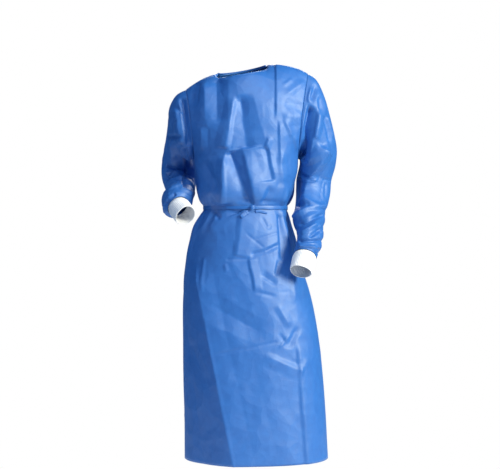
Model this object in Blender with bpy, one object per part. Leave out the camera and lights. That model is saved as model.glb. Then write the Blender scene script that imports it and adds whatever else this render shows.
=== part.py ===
"""Surgical gown in the hollow form that it takes when it is worn, with nobody in it.

The gown hangs from the shoulders: the right arm is bent with the hand at the hip, the left arm is
let down. The origin is the middle of the neck seat, +Z is up, the front faces -Y and the
wearer's left is +X. Every piece of cloth is a closed thin wall made from a grid of points:
rows run from the hem up, columns run round the body, and the sleeves are rings along the arms.
Angles round the body are in degrees from the middle of the front, positive to the wearer's left.
"""

import math
from collections import namedtuple

import bpy
import numpy as np
from mathutils import Vector
from mathutils.bvhtree import BVHTree

# Driving dimensions, in metres.
HEM_Z = -1.174
UNDERARM_Z = -0.266
CLOTH = 0.0015
SEAM_GAP = 0.0003
LAYER_STEP = 0.005
BINDING_HEIGHT = 0.0065
BINDING_THICKNESS = 0.0026
BELT_Z = -0.415
BELT_HEIGHT = 0.012
BELT_THICKNESS = 0.0016
CUFF_THICKNESS = 0.0018
ROUNDNESS = 2.15

# Columns and rows of the grids.
UPPER_ROWS = 12
NECK_ANGLE = 34.0
SHOULDER_SPANS = 8
NECK_FRONT_SPANS = 5
NECK_BACK_SPANS = 4
OVERLAP_SPANS = 3
BACK_EDGE = 180 + NECK_ANGLE * OVERLAP_SPANS / NECK_BACK_SPANS
CHEST_TURN = 0.36

BELT_TOP = BELT_Z + BELT_HEIGHT / 2
BELT_BOTTOM = BELT_Z - BELT_HEIGHT / 2

Section = namedtuple("Section", "z centre_x half_width front_depth back_depth")
SECTIONS = [
    Section(-1.174, 0.040, 0.218, 0.176, 0.176),
    Section(-1.034, 0.036, 0.215, 0.171, 0.171),
    Section(-0.939, 0.031, 0.213, 0.166, 0.166),
    Section(-0.817, 0.024, 0.207, 0.160, 0.160),
    Section(-0.695, 0.013, 0.196, 0.150, 0.150),
    Section(-0.610, 0.004, 0.181, 0.141, 0.140),
    Section(-0.560, -0.002, 0.171, 0.134, 0.131),
    Section(-0.512, -0.003, 0.160, 0.127, 0.120),
    Section(-0.470, -0.003, 0.147, 0.119, 0.108),
    Section(-0.438, 0.003, 0.134, 0.111, 0.096),
    Section(-0.415, 0.007, 0.127, 0.108, 0.090),
    Section(-0.396, 0.005, 0.135, 0.122, 0.098),
    Section(-0.375, 0.005, 0.144, 0.130, 0.104),
    Section(-0.340, 0.006, 0.151, 0.132, 0.107),
    Section(-0.300, 0.009, 0.157, 0.128, 0.111),
    Section(-0.266, 0.009, 0.159, 0.123, 0.113),
]

Band = namedtuple("Band", "low high rows")
BODY_BANDS = [
    Band(HEM_Z, -0.620, 12),
    Band(-0.620, -0.470, 5),
    Band(-0.470, BELT_BOTTOM, 3),
    Band(BELT_BOTTOM, BELT_TOP, 1),
    Band(BELT_TOP, -0.360, 3),
    Band(-0.360, UNDERARM_Z, 4),
]

# The shoulder seams from the neck to the armhole, and the neckline between them.
Shoulder = namedtuple("Shoulder", "share x z")
LEFT_SHOULDER = [
    Shoulder(0.00, 0.076, 0.021),
    Shoulder(0.30, 0.113, 0.020),
    Shoulder(0.55, 0.143, 0.016),
    Shoulder(0.80, 0.174, 0.007),
    Shoulder(1.00, 0.198, -0.006),
]
RIGHT_SHOULDER = [
    Shoulder(0.00, -0.082, -0.007),
    Shoulder(0.25, -0.103, -0.013),
    Shoulder(0.45, -0.122, -0.021),
    Shoulder(0.72, -0.148, -0.036),
    Shoulder(1.00, -0.174, -0.054),
]
NECK_FRONT_DEPTH = 0.078
NECK_BACK_DEPTH = 0.060
NECK_FRONT_DIP = 0.026
NECK_BACK_DIP = 0.004

# Troughs and ridges of the front, seen from the front, in metres. A fold runs downwards, so that
# its left and right flanks are the viewer's. A row gives the widths of the flanks where it starts,
# how many times wider they are at its end, its height, negative for a trough, and the shares of
# its length over which it dies away at the two ends.
Fold = namedtuple("Fold", "x0 z0 x1 z1 left right grow height fade0 fade1")
FRONT_FOLDS = [
    # Chest: the lit ridge and the trough beside it.
    Fold(-0.024, -0.075, -0.044, -0.250, 0.045, 0.050, 1.1, 0.009, 0.35, 0.30),
    Fold(0.014, -0.080, 0.008, -0.250, 0.040, 0.050, 1.0, -0.008, 0.35, 0.25),
    Fold(0.108, -0.020, 0.106, -0.165, 0.013, 0.050, 1.0, 0.005, 0.15, 0.25),
    Fold(0.098, -0.165, 0.118, -0.310, 0.020, 0.030, 1.0, -0.006, 0.30, 0.30),
    Fold(-0.113, -0.050, -0.108, -0.150, 0.030, 0.035, 1.0, 0.006, 0.30, 0.50),
    Fold(-0.125, -0.165, -0.118, -0.250, 0.030, 0.025, 1.0, -0.007, 0.40, 0.30),
    # The fan of folds that the knot pulls in.
    Fold(-0.052, -0.250, -0.062, -0.402, 0.045, 0.060, 1.1, 0.010, 0.30, 0.15),
    Fold(-0.034, -0.255, 0.024, -0.408, 0.022, 0.024, 0.8, -0.013, 0.30, 0.02),
    Fold(0.072, -0.245, 0.092, -0.345, 0.022, 0.026, 1.0, 0.009, 0.30, 0.40),
    Fold(0.060, -0.300, 0.036, -0.404, 0.040, 0.030, 0.6, 0.006, 0.35, 0.10),
    Fold(-0.135, -0.275, -0.062, -0.365, 0.022, 0.022, 1.0, -0.008, 0.30, 0.30),
    # Skirt: the two long pressed edges, and the soft diagonal between them.
    Fold(-0.137, -0.590, -0.021, HEM_Z, 0.052, 0.070, 2.5, 0.026, 0.25, 0.0),
    Fold(0.155, -0.745, 0.190, HEM_Z, 0.016, 0.070, 1.2, 0.011, 0.20, 0.0),
    Fold(-0.085, -0.695, 0.170, -0.905, 0.050, 0.050, 1.0, 0.007, 0.35, 0.30),
    Fold(-0.050, -0.850, 0.110, -0.815, 0.020, 0.020, 1.0, -0.004, 0.30, 0.20),
    # Below the belt: slack cloth over the hips.
    Fold(-0.018, -0.460, -0.016, -0.565, 0.045, 0.050, 1.0, 0.006, 0.40, 0.25),
    Fold(0.020, -0.556, 0.112, -0.524, 0.016, 0.020, 1.0, -0.008, 0.30, 0.20),
    Fold(0.020, -0.575, 0.026, -0.650, 0.030, 0.045, 1.0, 0.006, 0.20, 0.40),
    Fold(0.048, -0.622, 0.115, -0.650, 0.020, 0.020, 1.0, -0.008, 0.30, 0.30),
    Fold(0.112, -0.575, 0.094, -0.625, 0.014, 0.016, 1.0, -0.006, 0.30, 0.30),
]
BACK_FOLDS = [
    Fold(-0.090, -0.100, -0.030, -0.390, 0.040, 0.045, 1.0, -0.008, 0.35, 0.10),
    Fold(0.095, -0.120, 0.045, -0.395, 0.040, 0.040, 1.0, -0.008, 0.35, 0.10),
    Fold(-0.055, -0.500, -0.075, HEM_Z, 0.050, 0.040, 1.3, 0.014, 0.25, 0.0),
    Fold(0.075, -0.520, 0.120, HEM_Z, 0.045, 0.055, 1.3, 0.015, 0.25, 0.0),
]

# Gathers that start at the belt: where they are round the body, how wide and how deep they are,
# and how far they reach below and above the belt.
Gather = namedtuple("Gather", "angle half_width height below above")
GATHERS = [
    Gather(-70, 10, 0.007, 0.200, 0.060),
    Gather(-44, 8, -0.005, 0.080, 0.050),
    Gather(58, 9, 0.007, 0.160, 0.060),
    Gather(84, 10, -0.008, 0.240, 0.080),
    Gather(104, 12, 0.010, 0.300, 0.090),
    Gather(128, 12, -0.009, 0.260, 0.100),
    Gather(150, 12, 0.010, 0.220, 0.090),
    Gather(172, 12, -0.009, 0.300, 0.100),
    Gather(-166, 12, 0.010, 0.260, 0.090),
    Gather(-142, 13, -0.010, 0.300, 0.090),
    Gather(-116, 13, 0.010, 0.240, 0.080),
    Gather(-94, 10, -0.008, 0.260, 0.070),
]

# Rings of the sleeves, from the armhole to the seam of the cuff. "Outer" is the line that runs
# down from the shoulder seam, "inner" the line that runs down from the underarm. The tilt is how
# far the front of the ring is turned up, in degrees.
Ring = namedtuple("Ring", "outer_x outer_y outer_z inner_x inner_y inner_z half_depth tilt")
LEFT_RINGS = [
    Ring(0.198, 0.000, -0.006, 0.168, 0.000, -0.266, 0.068, 0),
    Ring(0.226, 0.002, -0.028, 0.172, 0.003, -0.268, 0.069, -3),
    Ring(0.250, 0.006, -0.080, 0.173, 0.008, -0.273, 0.068, -5),
    Ring(0.266, 0.012, -0.135, 0.173, 0.014, -0.281, 0.065, -8),
    Ring(0.279, 0.020, -0.187, 0.171, 0.022, -0.292, 0.062, -10),
    Ring(0.288, 0.032, -0.237, 0.168, 0.034, -0.306, 0.060, -10),
    Ring(0.284, 0.043, -0.285, 0.164, 0.045, -0.326, 0.057, -3),
    Ring(0.272, 0.048, -0.330, 0.163, 0.047, -0.352, 0.055, 8),
    Ring(0.268, 0.039, -0.370, 0.162, 0.034, -0.384, 0.053, 22),
    Ring(0.258, 0.014, -0.410, 0.158, 0.006, -0.418, 0.051, 32),
    Ring(0.245, -0.020, -0.450, 0.150, -0.030, -0.450, 0.050, 37),
    Ring(0.241, -0.055, -0.486, 0.161, -0.062, -0.484, 0.047, 40),
    Ring(0.235, -0.083, -0.519, 0.161, -0.087, -0.514, 0.042, 40),
    Ring(0.226, -0.103, -0.547, 0.155, -0.105, -0.538, 0.038, 40),
    Ring(0.218, -0.114, -0.565, 0.150, -0.113, -0.555, 0.034, 38),
]
RIGHT_RINGS = [
    Ring(-0.174, 0.000, -0.054, -0.150, 0.000, -0.266, 0.068, 0),
    Ring(-0.205, 0.005, -0.072, -0.156, 0.006, -0.268, 0.068, -8),
    Ring(-0.225, 0.020, -0.106, -0.160, 0.020, -0.268, 0.066, -18),
    Ring(-0.232, 0.047, -0.150, -0.160, 0.046, -0.265, 0.061, -28),
    Ring(-0.240, 0.080, -0.196, -0.156, 0.082, -0.256, 0.056, -32),
    Ring(-0.249, 0.112, -0.236, -0.150, 0.114, -0.266, 0.052, -28),
    Ring(-0.256, 0.128, -0.272, -0.147, 0.128, -0.286, 0.050, -8),
    Ring(-0.257, 0.126, -0.307, -0.147, 0.124, -0.314, 0.049, 20),
    Ring(-0.250, 0.109, -0.336, -0.148, 0.107, -0.337, 0.047, 50),
    Ring(-0.237, 0.084, -0.352, -0.149, 0.082, -0.348, 0.046, 70),
    Ring(-0.236, 0.044, -0.365, -0.149, 0.038, -0.360, 0.048, 74),
    Ring(-0.242, 0.002, -0.382, -0.150, -0.004, -0.373, 0.050, 70),
    Ring(-0.243, -0.036, -0.400, -0.151, -0.034, -0.386, 0.050, 64),
    Ring(-0.238, -0.068, -0.415, -0.153, -0.052, -0.396, 0.044, 58),
    Ring(-0.225, -0.088, -0.421, -0.165, -0.062, -0.403, 0.034, 55),
]
SLEEVE_ROWS = 18
WRIST_ROWS = 9
WRIST_RINGS = 4

# Where each cuff ends.
LEFT_CUFF_END = Ring(0.203, -0.141, -0.612, 0.138, -0.139, -0.599, 0.033, 34)
RIGHT_CUFF_END = Ring(-0.199, -0.125, -0.449, -0.141, -0.099, -0.431, 0.033, 55)
CUFF_ROWS = 3

# Folds of the sleeves: how far down in rings, and round the sleeve in degrees from the underarm
# by way of the front; the half widths of both; and how far the fold slants per degree.
Crease = namedtuple("Crease", "ring around half_rings half_around slant height")
LEFT_CREASES = [
    Crease(2.6, 50, 1.6, 45, 0.012, -0.010),
    Crease(4.6, 110, 1.0, 60, 0.020, 0.006),
    Crease(5.6, 75, 0.9, 70, 0.020, -0.010),
    Crease(7.2, 120, 0.8, 70, 0.000, 0.005),
    Crease(9.4, 110, 0.7, 110, 0.004, -0.006),
    Crease(10.2, 90, 0.6, 120, 0.004, 0.007),
    Crease(11.0, 80, 0.5, 120, -0.003, -0.006),
    Crease(11.7, 120, 0.5, 120, 0.003, 0.006),
    Crease(12.4, 60, 0.4, 130, 0.002, -0.005),
    Crease(3.4, 250, 1.2, 60, -0.010, -0.007),
    Crease(6.2, 270, 0.9, 70, 0.006, -0.008),
    Crease(8.4, 260, 0.7, 70, -0.004, 0.007),
    Crease(10.6, 270, 0.6, 80, 0.004, -0.006),
]
RIGHT_CREASES = [
    Crease(1.6, 70, 0.9, 50, 0.004, -0.009),
    Crease(3.2, 110, 1.1, 60, 0.010, 0.005),
    Crease(5.0, 80, 0.6, 80, 0.004, -0.005),
    Crease(6.6, 240, 0.8, 70, 0.004, -0.006),
    Crease(8.0, 120, 0.6, 90, 0.003, -0.006),
    Crease(8.8, 100, 0.6, 110, -0.003, 0.006),
    Crease(9.6, 110, 0.5, 130, 0.002, -0.006),
    Crease(10.3, 90, 0.5, 140, -0.002, 0.007),
    Crease(11.0, 120, 0.4, 140, 0.001, -0.004),
    Crease(3.6, 260, 1.1, 60, -0.008, -0.007),
    Crease(9.0, 280, 0.7, 80, 0.004, 0.006),
]

# The knot in front and the two ends of the tie that come out of it.
KNOT_X = 0.028
KNOT_Z = -0.416
KNOT_SIZE = (0.017, 0.011, 0.020)
TieEnd = namedtuple("TieEnd", "x0 z0 x1 z1 half_width")
LEFT_TIE_END = TieEnd(0.038, -0.4275, 0.072, -0.4290, 0.0045)
RIGHT_TIE_END = TieEnd(0.016, -0.4290, -0.006, -0.4420, 0.0060)
TIE_LIFT = 0.0008

# Colour, roughness of the two cloths.
BLUE_CLOTH = ((0.045, 0.215, 0.640, 1.0), 0.55)
WHITE_KNIT = ((0.860, 0.865, 0.880, 1.0), 0.85)


def clear_scene():
    """Takes away whatever the scene starts with."""
    for obj in list(bpy.data.objects):
        bpy.data.objects.remove(obj, do_unlink=True)


def cloth_material(name, look):
    """A Principled material of one colour and roughness."""
    colour, roughness = look
    material = bpy.data.materials.new(name)
    material.use_nodes = True
    shader = material.node_tree.nodes["Principled BSDF"]
    shader.inputs["Base Color"].default_value = colour
    shader.inputs["Roughness"].default_value = roughness
    shader.inputs["Metallic"].default_value = 0.0
    return material


def through(keys, values, at):
    """A smooth curve through values at rising keys, read at each number of at."""
    keys = np.asarray(keys, float)
    values = np.asarray(values, float)
    slopes = np.gradient(values, keys, axis=0)
    at = np.clip(np.asarray(at, float), keys[0], keys[-1])
    index = np.clip(np.searchsorted(keys, at, side="right") - 1, 0, len(keys) - 2)
    span = keys[index + 1] - keys[index]
    t = (at - keys[index]) / span
    if values.ndim > 1:
        t, span = t[..., None], span[..., None]
    start, end = values[index], values[index + 1]
    leave, arrive = slopes[index] * span, slopes[index + 1] * span
    cubic = (2 * start - 2 * end + leave + arrive) * t**3
    square = (3 * end - 3 * start - 2 * leave - arrive) * t**2
    return cubic + square + leave * t + start


def ease(share):
    """Rises smoothly from 0 to 1 as share does."""
    share = np.clip(share, 0.0, 1.0)
    return share * share * (3 - 2 * share)


def section_at(z):
    """Centre, half width, front depth and back depth of the body at height z."""
    keys = [row.z for row in SECTIONS]
    return np.moveaxis(through(keys, [row[1:] for row in SECTIONS], z), -1, 0)


def from_middle(angle):
    """Side (+1 left, -1 right), whether at the back, and degrees from the nearer middle line."""
    wrapped = (np.asarray(angle, float) + 180.0) % 360.0 - 180.0
    side = np.where(wrapped < 0, -1.0, 1.0)
    back = np.abs(wrapped) > 90.0
    away = np.where(back, 180.0 - np.abs(wrapped), np.abs(wrapped))
    return side, back, away


def rounded(share):
    """A sine or cosine turned into its share of a slightly squared oval."""
    return np.sign(share) * np.abs(share) ** (2.0 / ROUNDNESS)


def body_ring(angle, z):
    """Points of the body below the underarm, at these angles and heights."""
    side, back, away = from_middle(angle)
    centre, half_width, front_depth, back_depth = section_at(z)
    turn = np.radians(away)
    depth = np.where(back, back_depth, -front_depth)
    x = centre + side * half_width * rounded(np.sin(turn))
    return np.stack([x, depth * rounded(np.cos(turn)), z + 0 * x], axis=-1)


def shoulder_at(side, share):
    """x and z of the shoulder seam, share of the way from the neck to the armhole."""
    points = []
    for rows in (LEFT_SHOULDER, RIGHT_SHOULDER):
        keys = [row.share for row in rows]
        points.append(through(keys, [row[1:] for row in rows], share))
    return np.where((side > 0)[..., None], points[0], points[1])


def top_edge(angle):
    """Points of the shoulder seams and the neckline, where the body's panels end."""
    side, back, away = from_middle(angle)
    seam = shoulder_at(side, np.clip((away - NECK_ANGLE) / (90 - NECK_ANGLE), 0, 1))
    left, right = LEFT_SHOULDER[0], RIGHT_SHOULDER[0]
    swing = np.radians(90) * np.clip(away / NECK_ANGLE, 0, 1)
    x = (left.x + right.x) / 2 + side * (left.x - right.x) / 2 * np.sin(swing)
    level = right.z + (left.z - right.z) * (x - right.x) / (left.x - right.x)
    round_neck = np.sqrt(np.clip(np.cos(swing), 0, 1))
    dip = np.where(back, NECK_BACK_DIP, NECK_FRONT_DIP)
    depth = np.where(back, NECK_BACK_DEPTH, -NECK_FRONT_DEPTH)
    neck = np.stack([x, depth * np.cos(swing), level - dip * round_neck], axis=-1)
    shoulder = np.stack([seam[..., 0], 0 * x, seam[..., 1]], axis=-1)
    return np.where((away >= NECK_ANGLE)[..., None], shoulder, neck)


def upper_body(angle, climb):
    """Points between the underarm and the top edge. climb runs from 0 to 1 up the body."""
    side, back, away = from_middle(angle)
    centre, half_width, front_depth, back_depth = section_at(np.asarray(UNDERARM_Z))
    top = top_edge(angle)
    turn_in = 1 - CHEST_TURN * np.sin(np.radians(90) * np.clip(climb / 0.45, 0, 1))
    turn = np.radians(away) * turn_in
    reach = rounded(np.sin(turn) / np.sin(np.radians(90) * turn_in))
    low_x = centre + side * half_width * reach
    x = low_x + (top[..., 0] - low_x) * climb**1.6
    depth = np.where(back, back_depth, -front_depth) * rounded(np.cos(turn))
    over_neck = np.clip(1 - away / NECK_ANGLE, 0, 1)
    keep = (1 - climb**2.6) ** (0.5 + 0.35 * ease(over_neck))
    y = top[..., 1] + (depth - top[..., 1]) * keep
    z = UNDERARM_Z + (top[..., 2] - UNDERARM_Z) * climb
    return np.stack([x, y, z], axis=-1)


def evenly_up(angle, rows):
    """A column of the upper body at this angle, with its points an even way apart."""
    fine = np.sin(np.linspace(0, math.pi / 2, 400))
    line = upper_body(np.full(fine.shape, float(angle)), fine)
    steps = np.linalg.norm(np.diff(line, axis=0), axis=1)
    along = np.concatenate([[0.0], np.cumsum(steps)])
    at = np.linspace(0, along[-1], rows + 1)
    return np.stack([np.interp(at, along, line[:, k]) for k in range(3)], axis=-1)


def body_heights():
    """Heights of the rows between the hem and the underarm."""
    heights = [HEM_Z]
    for band in BODY_BANDS:
        heights += list(np.linspace(band.low, band.high, band.rows + 1)[1:])
    return np.array(heights)


def body_grid(angles):
    """Grid of body points: rows from the hem to the top edge, columns at these angles."""
    heights = body_heights()
    lower = body_ring(np.array(angles)[None, :], heights[:, None])
    columns = [evenly_up(angle, UPPER_ROWS) for angle in angles]
    upper = np.stack(columns, axis=1)[1:]
    return np.concatenate([lower, upper])


def fold_height(folds, x, z):
    """How far these folds lift the cloth at points seen at x, z."""
    lift = np.zeros_like(x)
    for fold in folds:
        run = np.array([fold.x1 - fold.x0, fold.z1 - fold.z0])
        length = np.linalg.norm(run)
        run /= length
        along = ((x - fold.x0) * run[0] + (z - fold.z0) * run[1]) / length
        across = (x - fold.x0) * -run[1] + (z - fold.z0) * run[0]
        wider = 1 + (fold.grow - 1) * np.clip(along, 0, 1)
        flank = np.where(across < 0, fold.left, fold.right) * wider
        slope = np.clip(1 - np.abs(across) / flank, 0, 1)
        start = ease(along / max(fold.fade0, 1e-3))
        end = ease((1 - along) / max(fold.fade1, 1e-3))
        lift += fold.height * slope * start * np.where(fold.fade1 > 0, end, 1.0)
    return lift


def gather_height(angle, z):
    """How far the gathers lift the cloth, above and below the belt and none under it."""
    below = np.clip(BELT_BOTTOM - z, 0, None)
    above = np.clip(z - BELT_TOP, 0, None)
    lift = np.zeros(np.broadcast(angle, z).shape)
    for gather in GATHERS:
        turn = (angle - gather.angle + 180.0) % 360.0 - 180.0
        hump = ease(1 - np.abs(turn) / gather.half_width)
        down = np.sin(math.pi * np.clip(below / gather.below, 0, 1) ** 0.5)
        up = np.sin(math.pi * np.clip(above / gather.above, 0, 1) ** 0.6)
        lift += gather.height * hump * (down + up)
    return lift


def body_lift(angles, grid):
    """How far the body's cloth stands off its plain form at each point of a grid."""
    angle = np.array(angles, float)[None, :] + 0 * grid[..., 0]
    _, back, away = from_middle(angle)
    x, z = grid[..., 0], grid[..., 2]
    rows = np.arange(len(grid))[:, None]
    top = ease((len(grid) - 1 - rows) / 3.0)
    below_arm = rows <= len(grid) - 1 - UPPER_ROWS
    side = np.where(below_arm, ease((96 - away) / 14.0), ease((90 - away) / 18.0))
    off_belt = ease(np.maximum(BELT_BOTTOM - z, z - BELT_TOP) / 0.014)
    folds = np.where(back, fold_height(BACK_FOLDS, x, z), fold_height(FRONT_FOLDS, x, z))
    seam = np.where(np.abs(away - 90) < 1e-5, 0.0, 1.0)
    return folds * side * top * off_belt * seam + gather_height(angle, z) * below_arm


def layer_lift(angles, rows):
    """The right back lies over the left back: it steps out before it reaches that panel's edge."""
    climb = np.clip((np.arange(rows) - rows + 1 + UPPER_ROWS) / UPPER_ROWS, 0, 1)[:, None]
    start = 95.0 + (180.0 - NECK_ANGLE - 95.0) * ease(climb * 1.3)
    past = (np.abs(angles)[None, :] - start) / (360.0 - BACK_EDGE - start)
    return LAYER_STEP * ease(past)


def ring_frame(row):
    """Centre, the half axis to the outer line and the half axis to the front of a sleeve ring."""
    row = np.asarray(row, float)
    half_depth, tilt = row[6], math.radians(row[7])
    forward = half_depth * np.array([0.0, -math.cos(tilt), math.sin(tilt)])
    return (row[:3] + row[3:6]) / 2, (row[:3] - row[3:6]) / 2, forward


def oval(frame, around):
    """Points of an oval ring at these angles round it, from the underarm by way of the front."""
    centre, outward, forward = frame
    turn = np.radians(around)[..., None]
    return centre - outward * np.cos(turn) + forward * np.sin(turn)


def sleeve_grid(rings, armhole):
    """Rows of a sleeve from the armhole to the cuff's seam, denser where it bunches at the wrist."""
    last = len(rings) - 1.0
    upper = np.linspace(0, last - WRIST_RINGS, SLEEVE_ROWS + 1)
    wrist = np.linspace(last - WRIST_RINGS, last, WRIST_ROWS + 1)[1:]
    at = np.concatenate([upper, wrist])
    around = np.arange(len(armhole)) * 360.0 / len(armhole)
    rows = through(np.arange(len(rings)), rings, at)
    plain = np.stack([oval(ring_frame(row), around) for row in rows])
    shift = armhole - plain[0]
    fading = 1 - ease(at / 2.5)
    return plain + shift[None] * fading[:, None, None], at, around


def crease_height(creases, at, around, last):
    """How far the sleeve's folds lift the cloth, dying away at the armhole and the cuff."""
    lift = np.zeros((len(at), len(around)))
    for crease in creases:
        turn = (around[None, :] - crease.around + 180.0) % 360.0 - 180.0
        row = at[:, None] - crease.ring - crease.slant * turn
        lift += (
            crease.height
            * np.clip(1 - np.abs(row) / crease.half_rings, 0, 1)
            * ease(1 - np.abs(turn) / crease.half_around)
        )
    return lift * ease(at / 1.2)[:, None] * ease((last - at) / 0.8)[:, None]


def own_normals(grid, closed):
    """Normals of one grid of points, of length 1."""
    if closed:
        grid = np.concatenate([grid[:, -1:], grid, grid[:, :1]], axis=1)
    a, b, c, d = grid[:-1, :-1], grid[:-1, 1:], grid[1:, 1:], grid[1:, :-1]
    face = np.cross(c - a, d - b)
    total = np.zeros_like(grid)
    total[:-1, :-1] += face
    total[:-1, 1:] += face
    total[1:, 1:] += face
    total[1:, :-1] += face
    if closed:
        total = total[:, 1:-1]
    return total / np.maximum(np.linalg.norm(total, axis=-1, keepdims=True), 1e-12)


def shared_normals(grids):
    """Normals of several grids, each way the same for all the pieces that meet at a point.

    They are shorter than 1 where the pieces meet at an angle.
    """
    own = [own_normals(grid, closed) for grid, closed in grids]
    points = np.concatenate([grid.reshape(-1, 3) for grid, _ in grids])
    keys = np.floor(points / 1e-4 + 0.37).astype(np.int64)
    _, same, count = np.unique(keys, axis=0, return_inverse=True, return_counts=True)
    same = same.reshape(-1)
    total = np.zeros((len(count), 3))
    np.add.at(total, same, np.concatenate([normal.reshape(-1, 3) for normal in own]))
    total /= count[:, None]
    normals, offset = [], 0
    for grid, _ in grids:
        size = grid.shape[0] * grid.shape[1]
        normals.append(total[same[offset : offset + size]].reshape(grid.shape))
        offset += size
    return normals


def drawn_in(grid, edges, gap=SEAM_GAP):
    """The grid with the named edges moved into it, so that pieces stay apart at their seam."""
    moved = grid.copy()
    share = 0.65 * gap

    def pull(edge, inner):
        way = inner - edge
        return edge + way * share / np.maximum(np.linalg.norm(way, axis=-1, keepdims=True), 1e-9)

    if "first_row" in edges:
        moved[0] = pull(moved[0], grid[1])
    if "last_row" in edges:
        moved[-1] = pull(moved[-1], grid[-2])
    if "first_column" in edges:
        moved[:, 0] = pull(moved[:, 0], moved[:, 1])
    if "last_column" in edges:
        moved[:, -1] = pull(moved[:, -1], moved[:, -2])
    return moved


def wall(name, outer, inner, material, closed=False):
    """An object that is the closed wall between an outer and an inner grid of points."""
    rows, columns = outer.shape[:2]
    count = rows * columns
    points = np.concatenate([outer.reshape(-1, 3), inner.reshape(-1, 3)])
    faces = []
    spans = columns if closed else columns - 1
    for row in range(rows - 1):
        for column in range(spans):
            after = (column + 1) % columns
            a, b = row * columns + column, row * columns + after
            c, d = b + columns, a + columns
            faces += [(a, b, c), (a, c, d)]
            faces += [(count + c, count + b, count + a), (count + d, count + c, count + a)]

    def rim(one, other):
        """Closes the edge between two neighbouring points, along the shorter diagonal."""
        across = np.linalg.norm(points[other] - points[count + one])
        if across < np.linalg.norm(points[one] - points[count + other]):
            faces.extend([(other, one, count + one), (other, count + one, count + other)])
        else:
            faces.extend([(one, count + one, count + other), (one, count + other, other)])

    for column in range(spans):
        after = (column + 1) % columns
        rim(column, after)
        rim((rows - 1) * columns + after, (rows - 1) * columns + column)
    if not closed:
        for row in range(rows - 1):
            rim((row + 1) * columns, row * columns)
            rim((row + 1) * columns - 1, (row + 2) * columns - 1)
    mesh = bpy.data.meshes.new(name)
    mesh.from_pydata([tuple(point) for point in points], [], faces)
    if signed_volume(mesh) < 0:
        mesh.flip_normals()
    mesh.shade_smooth()
    mesh.set_sharp_from_angle(angle=math.radians(50))
    mesh.materials.append(material)
    obj = bpy.data.objects.new(name, mesh)
    bpy.context.scene.collection.objects.link(obj)
    return obj


def signed_volume(mesh):
    """Volume inside a mesh, negative where its faces point inwards."""
    mesh.calc_loop_triangles()
    total = 0.0
    for triangle in mesh.loop_triangles:
        a, b, c = (mesh.vertices[index].co for index in triangle.vertices)
        total += a.dot(b.cross(c)) / 6
    return total


def panel_angles():
    """Angles of the columns of each panel, from the wearer's right to the left, front then back."""
    shoulder = np.linspace(90, NECK_ANGLE, SHOULDER_SPANS + 1)
    front = np.linspace(-NECK_ANGLE, NECK_ANGLE, 2 * NECK_FRONT_SPANS + 1)
    back = NECK_ANGLE * (1 - np.arange(1, NECK_BACK_SPANS + OVERLAP_SPANS + 1) / NECK_BACK_SPANS)
    left = 180 - np.concatenate([shoulder, back])
    left[0] += 1e-7  # counts as the back's side of the seam
    return {
        "front_panel": np.concatenate([-shoulder[:-1], front, shoulder[:-1][::-1]]),
        "back_left_panel": left,
        "back_right_panel": -left[::-1],
    }


def shape_panels():
    """Outer points and inner points of the body's panels and the sleeves, as a dictionary."""
    angles = panel_angles()
    grids = {name: body_grid(columns) for name, columns in angles.items()}
    lifts = {name: body_lift(angles[name], grids[name]) for name in grids}
    right = angles["back_right_panel"]
    lifts["back_right_panel"] += layer_lift(right, len(grids["back_right_panel"]))

    def armhole(front_column, back_column):
        """The armhole's points, from the underarm up the front and down the back."""
        start = len(front_column) - 1 - UPPER_ROWS
        return np.concatenate([front_column[start:], back_column[start:-1][::-1][:-1]])

    front, left, right = (grids[name] for name in list(grids))
    holes = {
        "sleeve_left": (LEFT_RINGS, LEFT_CREASES, armhole(front[:, -1], left[:, 0])),
        "sleeve_right": (RIGHT_RINGS, RIGHT_CREASES, armhole(front[:, 0], right[:, -1])),
    }
    for name, (rings, creases, hole) in holes.items():
        grid, at, around = sleeve_grid(rings, hole)
        lifts[name] = crease_height(creases, at, around, len(rings) - 1.0)
        if name == "sleeve_left":
            grid, lifts[name] = grid[:, ::-1], lifts[name][:, ::-1]
        grids[name] = grid

    names = list(grids)
    closed = [name.startswith("sleeve") for name in names]
    outer, inner, normals = {}, {}, {}
    plain = shared_normals([(grids[name], shut) for name, shut in zip(names, closed)])
    for name, normal in zip(names, plain):
        unit = normal / np.linalg.norm(normal, axis=-1, keepdims=True)
        outer[name] = grids[name] + unit * lifts[name][..., None]
    lifted = shared_normals([(outer[name], shut) for name, shut in zip(names, closed)])
    for name, normal in zip(names, lifted):
        length = np.linalg.norm(normal, axis=-1, keepdims=True)
        normals[name] = normal / length
        inner[name] = outer[name] - normals[name] * CLOTH / np.clip(length, 0.6, 1)
    return outer, inner, normals, angles


def make_panels(outer, inner, material):
    """The front, the two backs and the sleeves."""
    edges = {
        "front_panel": ("last_row", "first_column", "last_column"),
        "back_left_panel": ("last_row", "first_column"),
        "back_right_panel": ("last_row", "last_column"),
        "sleeve_left": ("first_row", "last_row"),
        "sleeve_right": ("first_row", "last_row"),
    }
    panels = {}
    for name, moved in edges.items():
        panels[name] = wall(
            name,
            drawn_in(outer[name], moved),
            drawn_in(inner[name], moved),
            material,
            closed=name.startswith("sleeve"),
        )
    return panels


def make_cuff(name, sleeve_outer, end_ring, reverse, material):
    """A knitted tube that carries on from the last ring of a sleeve."""
    start = sleeve_outer[-1]
    around = np.arange(len(start)) * 360.0 / len(start)
    if reverse:
        around = around[::-1]
    finish = oval(ring_frame(end_ring), around)
    way = finish.mean(axis=0) - start.mean(axis=0)
    way /= np.linalg.norm(way)
    share = np.linspace(0, 1, CUFF_ROWS + 1)[:, None, None]
    outer = start[None] * (1 - share) + finish[None] * share + way * SEAM_GAP * (1 - share)
    radial = outer - outer.mean(axis=1, keepdims=True)
    radial /= np.linalg.norm(radial, axis=-1, keepdims=True)
    return wall(name, outer, outer - radial * CUFF_THICKNESS, material, closed=True)


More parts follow.
